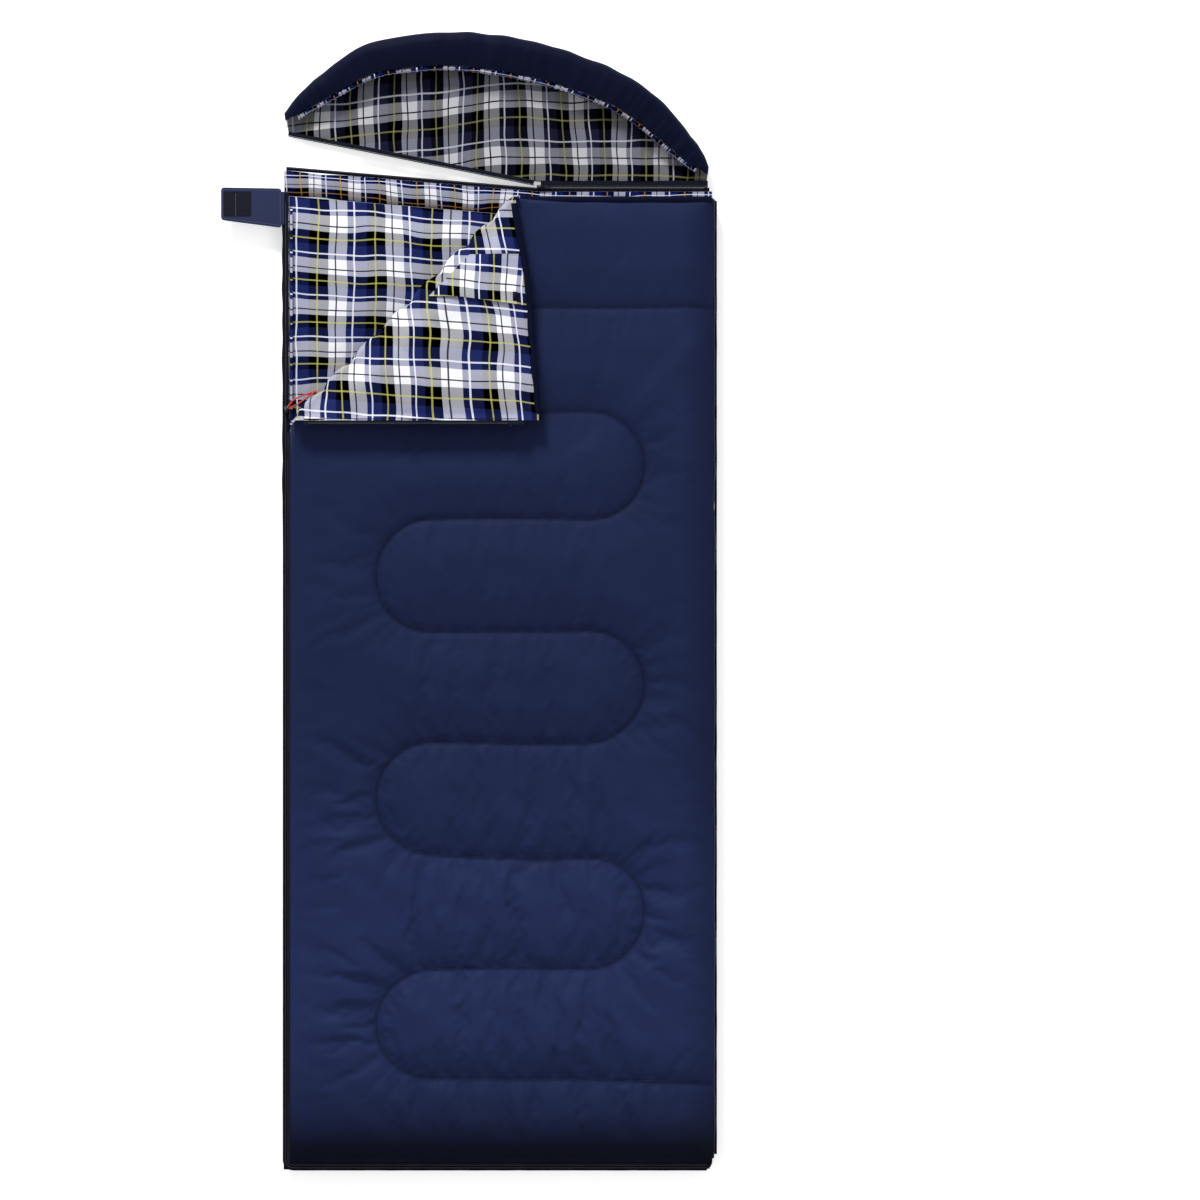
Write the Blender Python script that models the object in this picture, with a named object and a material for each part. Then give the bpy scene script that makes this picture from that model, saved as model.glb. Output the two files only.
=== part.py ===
"""Rectangular sleeping bag, lying flat with its front corner turned back and its hood half unzipped."""
import math

import bmesh
import bpy
from mathutils import Matrix, Vector

for old in list(bpy.data.objects):
    bpy.data.objects.remove(old, do_unlink=True)

# Frame: +X to the bag's right, +Y towards the head, +Z up, the floor at z = 0. All sizes in metres.
FABRIC = 0.0008
GAP = 0.0003
PANEL_LEFT = -0.4195
FRONT_LEFT = -0.4045
PANEL_RIGHT = 0.4110
BACK_FOOT = -0.9467
FRONT_FOOT = -0.9317
FRONT_TOP = 0.932
FRONT_TOP_RISE = 0.040
BAND_TOP = 0.949
BAND_RISE = 0.041
BAND_WIDTH = 0.050
RISE_FROM = 0.070
QUILT = 0.024
QUILT_EDGE = 0.010
EDGE_TAPER = 0.060
BACK_CORNER = 0.0062
FRONT_CORNER = 0.0024
MIDDLE_COLUMNS = (-0.245, -0.090, RISE_FROM, 0.250)
BACK_TOP = 0.024
FRONT_BOTTOM = 0.038
STITCH_RUNS = (0.720, 0.519, 0.311, 0.100, -0.120, -0.338, -0.554, -0.770)
STITCH_REACH = 0.035
STITCH_DIP = 0.006
HINGE_X = 0.4165
HINGE_Z = 0.031
FOLD_OFFSET = 0.905
FOLD_Z = 0.0635
FOLD_CLEARANCE = 0.0006
CHAIN_X = -0.4128
CHAIN_Z = 0.031
CHAIN_FOOT = -0.9400
CHAIN_CORNER = 0.012
CHAIN_TOP = 0.925
SLIDER_Y = 0.523
NECK_CHAIN_Y = 0.9555
NECK_CHAIN_Z = 0.0195
NECK_SLIDER_X = 0.078
HOOD_HINGE_Y = 0.9665
HOOD_NECK = 0.968
HOOD_SLOPE = 0.200
TAB_AXIS_Z = 0.0495
TAB_ROOT = -0.4235
TAB_TIP = -0.540

COLOURS = {
    "shell": (0.016, 0.023, 0.085),
    "fill": (0.80, 0.80, 0.78),
    "lining": (0.30, 0.31, 0.42),
    "tape": (0.012, 0.013, 0.020),
    "coil": (0.035, 0.036, 0.045),
    "metal": (0.10, 0.10, 0.11),
    "cord": (0.62, 0.06, 0.04),
    "patch": (0.018, 0.020, 0.030),
}


def material(slot):
    found = bpy.data.materials.get(slot)
    if found is None:
        found = bpy.data.materials.new(slot)
        found.use_nodes = True
        shader = found.node_tree.nodes["Principled BSDF"]
        shader.inputs["Base Color"].default_value = (*COLOURS[slot], 1.0)
        shader.inputs["Roughness"].default_value = 0.4 if slot == "metal" else 0.85
    return found


def make(name, slot, points, faces):
    mesh = bpy.data.meshes.new(name)
    mesh.from_pydata([tuple(p) for p in points], [], faces)
    edit = bmesh.new()
    edit.from_mesh(mesh)
    bmesh.ops.recalc_face_normals(edit, faces=edit.faces)
    edit.to_mesh(mesh)
    edit.free()
    mesh.materials.append(material(slot))
    mesh.shade_smooth()
    mesh.set_sharp_from_angle(angle=math.radians(40))
    obj = bpy.data.objects.new(name, mesh)
    bpy.context.scene.collection.objects.link(obj)
    return obj


def smooth(value):
    value = min(max(value, 0.0), 1.0)
    return value * value * (3 - 2 * value)


def spread(low, high, count):
    return [low + (high - low) * i / (count - 1) for i in range(count)]


def sheet(name, slot, lower, upper):
    """A closed body between two grids of points that match row by row."""
    rows, columns = len(lower), len(lower[0])
    points = [p for row in lower for p in row] + [p for row in upper for p in row]
    faces = []
    top = rows * columns
    for i in range(rows - 1):
        for j in range(columns - 1):
            a = i * columns + j
            b, c, d = a + 1, a + columns + 1, a + columns
            faces += [(a, b, c), (a, c, d), (top + a, top + c, top + b), (top + a, top + d, top + c)]
    rim = [j for j in range(columns)]
    rim += [i * columns + columns - 1 for i in range(1, rows)]
    rim += [(rows - 1) * columns + j for j in range(columns - 2, -1, -1)]
    rim += [i * columns for i in range(rows - 2, 0, -1)]
    for a, b in zip(rim, rim[1:] + rim[:1]):
        faces.append((a, top + a, top + b, b))
    return make(name, slot, points, faces)


def sweep(name, slot, sections):
    """A closed body through matching rings of points, capped at both ends."""
    ring = len(sections[0])
    points = [p for section in sections for p in section]
    faces = []
    for i in range(len(sections) - 1):
        for j in range(ring):
            a, b = i * ring + j, i * ring + (j + 1) % ring
            faces.append((a, b, b + ring, a + ring))
    faces.append(tuple(range(ring - 1, -1, -1)))
    last = (len(sections) - 1) * ring
    faces.append(tuple(range(last, last + ring)))
    return make(name, slot, points, faces)


def pipe(name, slot, outer, inner):
    """A hollow tube, open at both ends, from two matching lists of rings."""
    ring = len(outer[0])
    points = [p for section in outer for p in section] + [p for section in inner for p in section]
    core = len(outer) * ring
    last = (len(outer) - 1) * ring
    faces = []
    for j in range(ring):
        k = (j + 1) % ring
        for i in range(len(outer) - 1):
            a, b = i * ring + j, i * ring + k
            faces.append((a, b, b + ring, a + ring))
            faces.append((core + a, core + a + ring, core + b + ring, core + b))
        faces.append((j, core + j, core + k, k))
        faces.append((last + j, last + k, core + last + k, core + last + j))
    return make(name, slot, points, faces)


def path_frames(path):
    """Each point with the level direction square to the path, to its left, stretched at corners."""
    frames = []
    for i, here in enumerate(path):
        before = (here - path[max(i - 1, 0)]).normalized() if i else None
        after = (path[min(i + 1, len(path) - 1)] - here).normalized() if i + 1 < len(path) else None
        before = before or after
        after = after or before
        along = (before + after).normalized()
        side = Vector((-along.y, along.x, 0.0))
        frames.append((here, side / max(side.dot(Vector((-before.y, before.x, 0.0))), 0.5)))
    return frames


def strip(name, slot, path, profile):
    """A profile of (sideways, up) points swept along a level path."""
    sections = []
    for here, side in path_frames(path):
        sections.append([here + side * across + Vector((0, 0, up)) for across, up in profile])
    return sweep(name, slot, sections)


def ring_points(centre, side, up, radius, count):
    turns = [2 * math.pi * i / count for i in range(count)]
    return [centre + side * math.cos(t) * radius + up * math.sin(t) * radius for t in turns]


def box(name, slot, low, high, turn=0.0, about=(0.0, 0.0, 0.0)):
    corners = [(x, y, z) for z in (low[2], high[2]) for x, y in (
        (low[0], low[1]), (high[0], low[1]), (high[0], high[1]), (low[0], high[1]))]
    spin = Matrix.Translation(about) @ Matrix.Rotation(turn, 4, "Z") @ Matrix.Translation(-Vector(about))
    points = [spin @ Vector(c) for c in corners]
    faces = [(3, 2, 1, 0), (4, 5, 6, 7), (0, 1, 5, 4), (1, 2, 6, 5), (2, 3, 7, 6), (3, 0, 4, 7)]
    return make(name, slot, points, faces)


def plate(name, slot, outline, low, high):
    return sweep(name, slot, [[Vector((x, y, low)) for x, y in outline],
                              [Vector((x, y, high)) for x, y in outline]])


def rounded(points, radius, steps=4):
    """The outline with each corner rounded."""
    outline = []
    for i, corner in enumerate(points):
        corner = Vector(corner)
        before = (Vector(points[i - 1]) - corner).normalized()
        after = (Vector(points[(i + 1) % len(points)]) - corner).normalized()
        for k in range(steps + 1):
            t = k / steps
            start, end = corner + before * radius, corner + after * radius
            bend = start * (1 - t) ** 2 + corner * 2 * t * (1 - t) + end * t * t
            outline.append((bend.x, bend.y))
    return outline


def cut(obj, point, normal):
    """Keep the half on the far side of the normal, with the cut closed."""
    edit = bmesh.new()
    edit.from_mesh(obj.data)
    every = edit.verts[:] + edit.edges[:] + edit.faces[:]
    bmesh.ops.bisect_plane(edit, geom=every, dist=1e-6, plane_co=point, plane_no=normal, clear_outer=True)
    open_edges = [edge for edge in edit.edges if edge.is_boundary]
    bmesh.ops.triangle_fill(edit, edges=open_edges, use_beauty=True)
    bmesh.ops.recalc_face_normals(edit, faces=edit.faces)
    edit.to_mesh(obj.data)
    edit.free()
    return obj


def unite(obj, *others):
    for other in others:
        modifier = obj.modifiers.new("join", "BOOLEAN")
        modifier.operation = "UNION"
        modifier.solver = "EXACT"
        modifier.object = other
        bpy.context.view_layer.objects.active = obj
        bpy.ops.object.modifier_apply(modifier=modifier.name)
        bpy.data.objects.remove(other, do_unlink=True)
    return obj


def rise(x, amount):
    return amount * max(RISE_FROM - x, 0.0) / (RISE_FROM - PANEL_LEFT)


def band_top(x):
    return BAND_TOP + rise(x, BAND_RISE)


def front_top(x):
    return FRONT_TOP + rise(x, FRONT_TOP_RISE)


def hood_neck(x):
    return HOOD_NECK + max(RISE_FROM - x, 0.0) * HOOD_SLOPE


# The two quilts.
def rows_of(foot, top):
    inner = [foot, foot + 0.02, foot + 0.07]
    for run in reversed(STITCH_RUNS):
        inner += [run - STITCH_REACH, run, run + STITCH_REACH]
    return inner + [0.84, 0.89, top]


def quilt_grid(left, right, foot, round_by, top_of, level):
    """Rows of points on a quilt, level(full, dip) giving the height."""
    edge_columns = [0.0, 0.018, 0.060]
    middle = list(MIDDLE_COLUMNS)
    columns = [left + e for e in edge_columns] + middle + [right - e for e in reversed(edge_columns)]
    grid = []
    rows = rows_of(foot, FRONT_TOP)
    for i, y in enumerate(rows):
        line = []
        for x in columns:
            top = top_of(x)
            here = y if i < len(rows) - 3 else top - (rows[-1] - y)
            here = top if i == len(rows) - 1 else here
            near = min(x - left, right - x, here - foot, top - here)
            full = smooth(near / EDGE_TAPER)
            dip = max(smooth(1 - abs(here - run) / STITCH_REACH) for run in STITCH_RUNS)
            corner = round_by if i == 0 and x == left else 0.0
            line.append(Vector((x + corner, here + corner, level(full, dip * full))))
        grid.append(line)
    return grid


def back_low(full, dip):
    return (QUILT - QUILT_EDGE) * (1 - full)


def back_high(full, dip):
    return BACK_TOP - STITCH_DIP * dip


def front_low(full, dip):
    return FRONT_BOTTOM + 0.006 * (1 - full) + 0.3 * STITCH_DIP * dip


def front_high(full, dip):
    return FRONT_BOTTOM + QUILT - 0.008 * (1 - full) - STITCH_DIP * dip


def quilt(names, slots, left, foot, round_by, top_of, low, high):
    """Three layers, from the lowest: fabric, filling, fabric."""
    floors = [lambda f, d: low(f, d), lambda f, d: low(f, d) + FABRIC + GAP, lambda f, d: high(f, d) - FABRIC]
    roofs = [lambda f, d: low(f, d) + FABRIC, lambda f, d: high(f, d) - FABRIC - GAP, lambda f, d: high(f, d)]
    made = []
    for name, slot, floor, roof in zip(names, slots, floors, roofs):
        lower = quilt_grid(left, PANEL_RIGHT, foot, round_by, top_of, floor)
        upper = quilt_grid(left, PANEL_RIGHT, foot, round_by, top_of, roof)
        made.append(sheet(name, slot, lower, upper))
    return made


def back_end(x):
    return band_top(x) - BAND_WIDTH - 0.0006


quilt(("back_shell", "back_fill", "back_lining"), ("shell", "fill", "lining"),
      PANEL_LEFT, BACK_FOOT, BACK_CORNER, back_end, back_low, back_high)
front_names = ("front_lining", "front_fill", "front_shell")
front_slots = ("lining", "fill", "shell")
FOLD_ALONG = Vector((1, 1, 0)).normalized()
FOLD_ACROSS = Vector((1, -1, 0)).normalized()
FOLD_POINT = Vector((-FOLD_OFFSET / 2, FOLD_OFFSET / 2, FOLD_Z))
for layer in quilt(front_names, front_slots, FRONT_LEFT, FRONT_FOOT, FRONT_CORNER, front_top,
                   front_low, front_high):
    cut(layer, FOLD_POINT + FOLD_ACROSS * FOLD_CLEARANCE, -FOLD_ACROSS)

# The corner flap is the rest of the front quilt, turned back about the fold line by half a turn.
TURN_BACK = (Matrix.Translation(FOLD_POINT) @ Matrix.Rotation(math.pi, 4, FOLD_ALONG)
             @ Matrix.Translation(-FOLD_POINT))


def turned_back(obj):
    obj.data.transform(TURN_BACK)
    return obj


flap_names = ("flap_lining", "flap_fill", "flap_shell")
for layer in quilt(flap_names, front_slots, FRONT_LEFT, FRONT_FOOT, FRONT_CORNER, front_top,
                   front_low, front_high):
    turned_back(cut(layer, FOLD_POINT - FOLD_ACROSS * FOLD_CLEARANCE, FOLD_ACROSS))

# Hems: a folded strip over the cut end of each quilt's top edge.
HEM_DEPTH = 0.0032
front_hem_x = FRONT_TOP - FOLD_OFFSET
HEM_PROFILE = ((0.0003, 0.0420), (HEM_DEPTH, 0.0420), (HEM_DEPTH, 0.0560), (0.0003, 0.0560))


def top_path(low_x, high_x, line):
    bends = [low_x] + [x for x in (RISE_FROM,) if low_x < x < high_x] + [high_x]
    return [Vector((x, line(x), 0.0)) for x in bends]


strip("front_top_hem", "shell", top_path(front_hem_x + 0.012, PANEL_RIGHT, front_top), HEM_PROFILE)
flap_end_x = front_hem_x - 0.012
turned_back(strip("flap_top_hem", "shell", top_path(FRONT_LEFT, flap_end_x, front_top), HEM_PROFILE))

# Side zip: from the neck down the left side, round the foot corner and along the foot.
def zip_path(start_y, end_x):
    corner = CHAIN_CORNER
    path = [Vector((CHAIN_X, start_y, 0)), Vector((CHAIN_X, 0.25, 0)), Vector((CHAIN_X, -0.30, 0))]
    for k in range(5):
        turn = k * math.pi / 8
        x = CHAIN_X + corner - corner * math.cos(turn)
        path.append(Vector((x, CHAIN_FOOT + corner - corner * math.sin(turn), 0)))
    path += [Vector((0.0, CHAIN_FOOT, 0)), Vector((end_x, CHAIN_FOOT, 0))]
    return path


# Going down the left side, the path's left is the bag's inside, so outward offsets are negative.
COIL_HALF = 0.0012
TAPE = 0.0008


def coil_profile(centre, level=CHAIN_Z):
    r = COIL_HALF
    return ((centre - r, level - r * 0.6), (centre, level - r), (centre + r, level - r * 0.6),
            (centre + r, level + r * 0.6), (centre, level + r), (centre - r, level + r * 0.6))


def tape_profile(side, reach, drop_to, level=CHAIN_Z):
    """Level beside the coil, then along the quilt's edge."""
    low, high = level - TAPE / 2, level + TAPE / 2
    start, end = side * 0.0037, side * reach
    wall = end - side * TAPE
    if drop_to < level:
        return ((start, high), (start, low), (wall, low), (wall, drop_to), (end, drop_to), (end, high))
    return ((start, low), (start, high), (wall, high), (wall, drop_to), (end, drop_to), (end, low))


FRONT_ZIP_TOP = CHAIN_X + FOLD_OFFSET - 0.012
FOOT_END = 0.400
strip("back_zip_tape", "tape", zip_path(CHAIN_TOP + 0.02, FOOT_END), tape_profile(-1, 0.0078, 0.0140))
strip("back_zip_coil", "coil", zip_path(CHAIN_TOP, FOOT_END), coil_profile(-0.0022))
strip("front_zip_tape", "tape", zip_path(FRONT_ZIP_TOP, FOOT_END), tape_profile(1, 0.0080, 0.0460))
strip("front_zip_coil", "coil", zip_path(FRONT_ZIP_TOP, FOOT_END), coil_profile(0.0022))
FLAP_ZIP_LOW = SLIDER_Y + 0.014
flap_path = [Vector((CHAIN_X, y, 0)) for y in spread(CHAIN_TOP + 0.018, FLAP_ZIP_LOW, 4)]
turned_back(strip("flap_zip_tape", "tape", flap_path, tape_profile(1, 0.0080, 0.0460)))
flap_path = [Vector((CHAIN_X, y, 0)) for y in spread(CHAIN_TOP, FLAP_ZIP_LOW, 4)]
turned_back(strip("flap_zip_coil", "coil", flap_path, coil_profile(0.0022)))

STOP_LONG = 0.004
STOP_HALF_WIDTH = 0.0010
STOP_HALF_HEIGHT = 0.0020
STOP_OFF_CHAIN = 0.0026


def top_stop(name, x):
    return box(name, "metal", (x - STOP_HALF_WIDTH, CHAIN_TOP + GAP, CHAIN_Z - STOP_HALF_HEIGHT),
               (x + STOP_HALF_WIDTH, CHAIN_TOP + GAP + STOP_LONG, CHAIN_Z + STOP_HALF_HEIGHT))


top_stop("back_top_stop", CHAIN_X + STOP_OFF_CHAIN)
turned_back(top_stop("flap_top_stop", CHAIN_X - STOP_OFF_CHAIN))


def end_stop(name, x, y, z):
    """A block across both coils at the closed end of a zip."""
    return box(name, "metal", (x + GAP, y - STOP_LONG, z - STOP_HALF_HEIGHT),
               (x + GAP + 0.0050, y + STOP_LONG, z + STOP_HALF_HEIGHT))


end_stop("foot_end_stop", FOOT_END, CHAIN_FOOT, CHAIN_Z)

# The rolled edge of the lining beside the open zip.
DRAFT_X, DRAFT_R = -0.4046, 0.0026
draft = [ring_points(Vector((DRAFT_X, y, BACK_TOP + GAP + DRAFT_R)), Vector((1, 0, 0)),
                     Vector((0, 0, 1)), DRAFT_R, 8) for y in spread(-0.90, 0.915, 6)]
sweep("lining_side_roll", "lining", draft)

# Piping along the right-hand edge, on the line that the front turns about.
piping = [ring_points(Vector((HINGE_X, y, HINGE_Z)), Vector((1, 0, 0)), Vector((0, 0, 1)), 0.0022, 10)
          for y in spread(FRONT_FOOT, FRONT_TOP, 5)]
sweep("side_piping", "tape", piping)

# Neck band: a padded roll of lining across the back quilt's top end.
BAND_LEVEL, BAND_HALF = 0.0122, 0.0115


def band_rings(shrink, ends):
    rings = []
    half = BAND_WIDTH / 2 - shrink
    for x in spread(PANEL_LEFT + ends, RISE_FROM, 6) + spread(RISE_FROM, PANEL_RIGHT - ends, 4)[1:]:
        centre = Vector((x, band_top(x) - BAND_WIDTH / 2, BAND_LEVEL))
        ring = []
        for k in range(14):
            turn = 2 * math.pi * k / 14
            across = math.copysign(abs(math.cos(turn)) ** 0.7, math.cos(turn)) * half
            up = math.copysign(abs(math.sin(turn)) ** 0.7, math.sin(turn)) * (BAND_HALF - shrink)
            ring.append(centre + Vector((0, across, up)))
        rings.append(ring)
    return rings


pipe("neck_band_cover", "lining", band_rings(0.0, 0.0), band_rings(FABRIC, 0.0))
sweep("neck_band_fill", "fill", band_rings(FABRIC + GAP, 0.002))

# Neck zip: half closed. Left of the slider its two sides part.
def neck_lower(x):
    return NECK_CHAIN_Y + rise(x, BAND_RISE)


def flat_strip(name, slot, line, low_x, high_x, near, far, low_z, high_z):
    """A strip level in height whose only bend is where the neck line starts to rise."""
    corners = ((near, low_z), (far, low_z), (far, high_z), (near, high_z))
    bends = [low_x] + [x for x in (RISE_FROM,) if low_x < x < high_x] + [high_x]
    return sweep(name, slot, [[Vector((x, line(x) + off, z)) for off, z in corners] for x in bends])


NECK_LEFT, NECK_RIGHT = -0.4150, 0.3960
PART_X = NECK_SLIDER_X - 0.012
low_z, high_z = NECK_CHAIN_Z - TAPE / 2, NECK_CHAIN_Z + TAPE / 2
coil_low, coil_high = NECK_CHAIN_Z - 0.0011, NECK_CHAIN_Z + 0.0011
flat_strip("neck_tape_lower", "tape", neck_lower, NECK_LEFT, NECK_RIGHT, -0.0062, -0.0037, low_z, high_z)
flat_strip("neck_coil_lower", "coil", neck_lower, NECK_LEFT, NECK_RIGHT, -0.0034, -0.0012, coil_low, coil_high)


def neck_straight(x):
    return NECK_CHAIN_Y


flat_strip("neck_tape_upper", "tape", neck_straight, NECK_SLIDER_X, NECK_RIGHT, 0.0037, 0.0105, low_z, high_z)
flat_strip("neck_coil_upper", "coil", neck_straight, NECK_SLIDER_X, NECK_RIGHT, 0.0012, 0.0034, coil_low, coil_high)
flat_strip("hood_tape", "tape", hood_neck, NECK_LEFT + 0.004, PART_X, -0.0075, -0.0003, low_z, high_z)
flat_strip("hood_coil", "coil", hood_neck, NECK_LEFT + 0.004, PART_X, -0.0100, -0.0078, coil_low, coil_high)
end_stop("neck_end_stop", NECK_RIGHT, NECK_CHAIN_Y, NECK_CHAIN_Z)

# Hood: a padded panel whose outer edge rolls up and in, with a drawcord channel along the roll.
HOOD_OUTLINE = ((-0.4190, 1.100), (-0.386, 1.141), (-0.328, 1.189), (-0.251, 1.235), (-0.116, 1.256), (0.0, 1.249),
                (0.116, 1.224), (0.232, 1.179), (0.300, 1.133), (0.352, 1.078), (0.388, 1.030), (0.404, 0.996))
HOOD_STEPS = 23
RIM_TURN = 6
HOOD_LIFT = 0.0085
HOOD_END_THINNING = 0.45


def along_outline(t):
    place = t * (len(HOOD_OUTLINE) - 1)
    i = min(int(place), len(HOOD_OUTLINE) - 2)
    u = place - i
    p = [Vector(HOOD_OUTLINE[min(max(i + k, 0), len(HOOD_OUTLINE) - 1)]) for k in (-1, 0, 1, 2)]
    return 0.5 * (2 * p[1] + (p[2] - p[0]) * u + (2 * p[0] - 5 * p[1] + 4 * p[2] - p[3]) * u * u
                  + (3 * p[1] - p[0] - 3 * p[2] + p[3]) * u ** 3)


def hood_profile(t):
    """The outer surface from the neck edge to the rim's inner edge, as (inward, up) with its inner normal."""
    edge = along_outline(t)
    neck_x = -0.412 + 0.812 * t
    neck = Vector((neck_x, hood_neck(neck_x)))
    depth = (edge - neck).length
    arch = math.sin(math.pi * min(max(t, 0.0), 1.0)) ** 0.5 if 0 < t < 1 else 0.0
    radius = 0.0145 + 0.0085 * arch
    rim = max(radius * 1.15, min(0.070 * arch, depth * 0.45))
    points = []
    for k in range(6):
        s = k / 5
        inward = depth + (radius - depth) * s
        run_in = min(0.06, depth - radius)
        lift = HOOD_LIFT * run_in / 0.06 * (1 - smooth((depth - inward) / run_in))
        points.append((inward, lift))
    for k in range(1, RIM_TURN + 1):
        turn = math.pi * k / RIM_TURN
        points.append((radius - radius * math.sin(turn), radius - radius * math.cos(turn)))
    drop = 0.006 * arch
    for k in (0.5, 1.0):
        points.append((radius + (rim - radius) * k, 2 * radius - drop * k * k))
    return edge, neck, points


def hood_surface(inset):
    grid = []
    for i in range(HOOD_STEPS):
        t = i / (HOOD_STEPS - 1)
        edge, neck, points = hood_profile(t)
        inward = (neck - edge).normalized()
        thinned = inset * (1 - HOOD_END_THINNING * (2 * t - 1) ** 4)
        line = []
        for k, (across, up) in enumerate(points):
            before = points[max(k - 1, 0)]
            after = points[min(k + 1, len(points) - 1)]
            slope = Vector((after[0] - before[0], after[1] - before[1])).normalized()
            normal = Vector((slope.y, -slope.x))
            a, u = across + normal.x * thinned, up + normal.y * thinned
            flat = edge + inward * a
            line.append(Vector((flat.x, flat.y, u)))
        grid.append(line)
    return grid


HOOD_THICK = 0.0105
sheet("hood_shell", "shell", hood_surface(0.0), hood_surface(FABRIC))
sheet("hood_fill", "fill", hood_surface(FABRIC + GAP), hood_surface(HOOD_THICK - FABRIC - GAP))
sheet("hood_lining", "lining", hood_surface(HOOD_THICK - FABRIC), hood_surface(HOOD_THICK))

CHANNEL_R = 0.0048


def channel_rings(radius, count, skip):
    rings = []
    places = range(skip, HOOD_STEPS - skip)
    centres = []
    for i in places:
        edge, neck, points = hood_profile(i / (HOOD_STEPS - 1))
        inward = (neck - edge).normalized()
        flat = edge + inward * (points[-1][0] + CHANNEL_R + GAP)
        centres.append(Vector((flat.x, flat.y, points[-1][1] - HOOD_THICK / 2)))
    for i, centre in enumerate(centres):
        along = (centres[min(i + 1, len(centres) - 1)] - centres[max(i - 1, 0)]).normalized()
        side = along.cross(Vector((0, 0, 1))).normalized()
        rings.append(ring_points(centre, side, side.cross(along), radius, count))
    return rings


pipe("hood_channel", "lining", channel_rings(CHANNEL_R, 8, 1), channel_rings(CHANNEL_R - FABRIC, 8, 1))
sweep("hood_drawcord", "cord", channel_rings(0.0014, 8, 1))

# Inner pocket on the lining side of the turned-back corner, with its bar loop.
FLAP_TOP = 2 * FOLD_Z - FRONT_BOTTOM
pocket = rounded(((-0.140, 0.744), (-0.062, 0.820), (0.033, 0.820), (0.042, 0.724)), 0.004)
plate("inner_pocket", "lining", pocket, FLAP_TOP + GAP, FLAP_TOP + GAP + 0.0012)
loop_top = FLAP_TOP + GAP + 0.0012 + GAP
box("pocket_loop", "tape", (0.026, 0.729, loop_top), (0.034, 0.747, loop_top + 0.0014))

# Closure tab with its hook patch, and the loop patch that it meets on the corner's outer side.
TAB_LOW, TAB_HIGH = 0.0300, 0.0335
tab = rounded(((TAB_ROOT, 0.952), (TAB_TIP, 0.954), (TAB_TIP, 0.891), (TAB_ROOT, 0.876)), 0.006)
plate("closure_tab", "shell", tab, TAB_LOW, TAB_HIGH)
HOOK = ((-0.482, 0.946), (-0.535, 0.946), (-0.535, 0.899), (-0.482, 0.899))
plate("hook_patch", "patch", rounded(HOOK, 0.002), TAB_HIGH + GAP, TAB_HIGH + GAP + 0.0010)


def patch_grid(lift):
    """Rows of points just off the closed front quilt, where the tab's hook patch lands."""
    grid = []
    for y in spread(HOOK[2][1], HOOK[0][1], 5):
        line = []
        for x in spread(2 * TAB_ROOT - HOOK[0][0], 2 * TAB_ROOT - HOOK[1][0], 5):
            near = min(x - FRONT_LEFT, front_top(x) - y)
            line.append(Vector((x, y, front_high(smooth(near / EDGE_TAPER), 0.0) + lift)))
        grid.append(line)
    return grid


PATCH_OFF = 0.0010
loop_patch = sheet("loop_patch", "patch", patch_grid(PATCH_OFF), patch_grid(PATCH_OFF + FABRIC))
turned_back(loop_patch)


# Sliders: a plate over and a plate under the chain, a post between the coils, and an arch for the pull.
SLIDER_PLATE = 0.0014
SLIDER_HALF_GAP = 0.0018
ARCH_RISE = 0.0045
ARCH_BAR = 0.0006


def slider(name, centre, half_length, half_width, along_x):
    """Built along Y, then turned when its zip runs along X; the post stands at the side that opens."""
    turn = math.radians(90) if along_x else 0.0
    x, y, z = centre
    inner = z + SLIDER_HALF_GAP
    outer = inner + SLIDER_PLATE

    def piece(part, low, high):
        return box(name + part, "metal", (x + low[0], y + low[1], low[2]), (x + high[0], y + high[1], high[2]),
                   turn, centre)

    body = piece("", (-half_width, -half_length, 2 * z - outer), (half_width, half_length, 2 * z - inner))
    others = [piece("_over", (-half_width, -half_length, inner), (half_width, half_length, outer)),
              piece("_post", (-0.0008, 0.0010, 2 * z - inner - 0.0005), (0.0008, 0.0070, inner + 0.0005)),
              piece("_arch", (-0.0007, -0.0052, outer + ARCH_RISE - 2 * ARCH_BAR),
                    (0.0007, 0.0052, outer + ARCH_RISE))]
    for side in (-1, 1):
        near, far = sorted((side * 0.0036, side * 0.0051))
        others.append(piece("_leg", (-0.0008, near, outer - 0.0003),
                            (0.0008, far, outer + ARCH_RISE - ARCH_BAR)))
    return unite(body, *others)


slider("side_slider", (CHAIN_X, SLIDER_Y, CHAIN_Z), 0.0080, 0.0046, False)
slider("neck_slider", (NECK_SLIDER_X, NECK_CHAIN_Y, NECK_CHAIN_Z), 0.0075, 0.0044, True)

# Pulls. The side pull is a link on edge round its arch, leaning over the zip; the cord runs through it.
SIDE_ARCH_Z = CHAIN_Z + SLIDER_HALF_GAP + SLIDER_PLATE + ARCH_RISE - ARCH_BAR
PULL_TURN = math.radians(45)
PULL_UP = math.radians(38)
PULL_LEVEL = Vector((math.cos(PULL_TURN), math.sin(PULL_TURN), 0))
PULL_SIDE = Vector((-math.sin(PULL_TURN), math.cos(PULL_TURN), 0))
PULL_AHEAD = PULL_LEVEL * math.cos(PULL_UP) + Vector((0, 0, 1)) * math.sin(PULL_UP)
PULL_ABOVE = Vector((0, 0, 1)) * math.cos(PULL_UP) - PULL_LEVEL * math.sin(PULL_UP)


def side_frame(out, across, up):
    """A point on the side pull, measured out along it, across it and above it."""
    return Vector((CHAIN_X, SLIDER_Y, SIDE_ARCH_Z)) + PULL_AHEAD * out + PULL_SIDE * across + PULL_ABOVE * up


def neck_frame(out, across, up):
    """The neck pull lies along the closed zip, towards the bag's right, its near bar under the arch."""
    return Vector((NECK_SLIDER_X + out, NECK_CHAIN_Y + across, NECK_PULL_Z + up))


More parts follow.
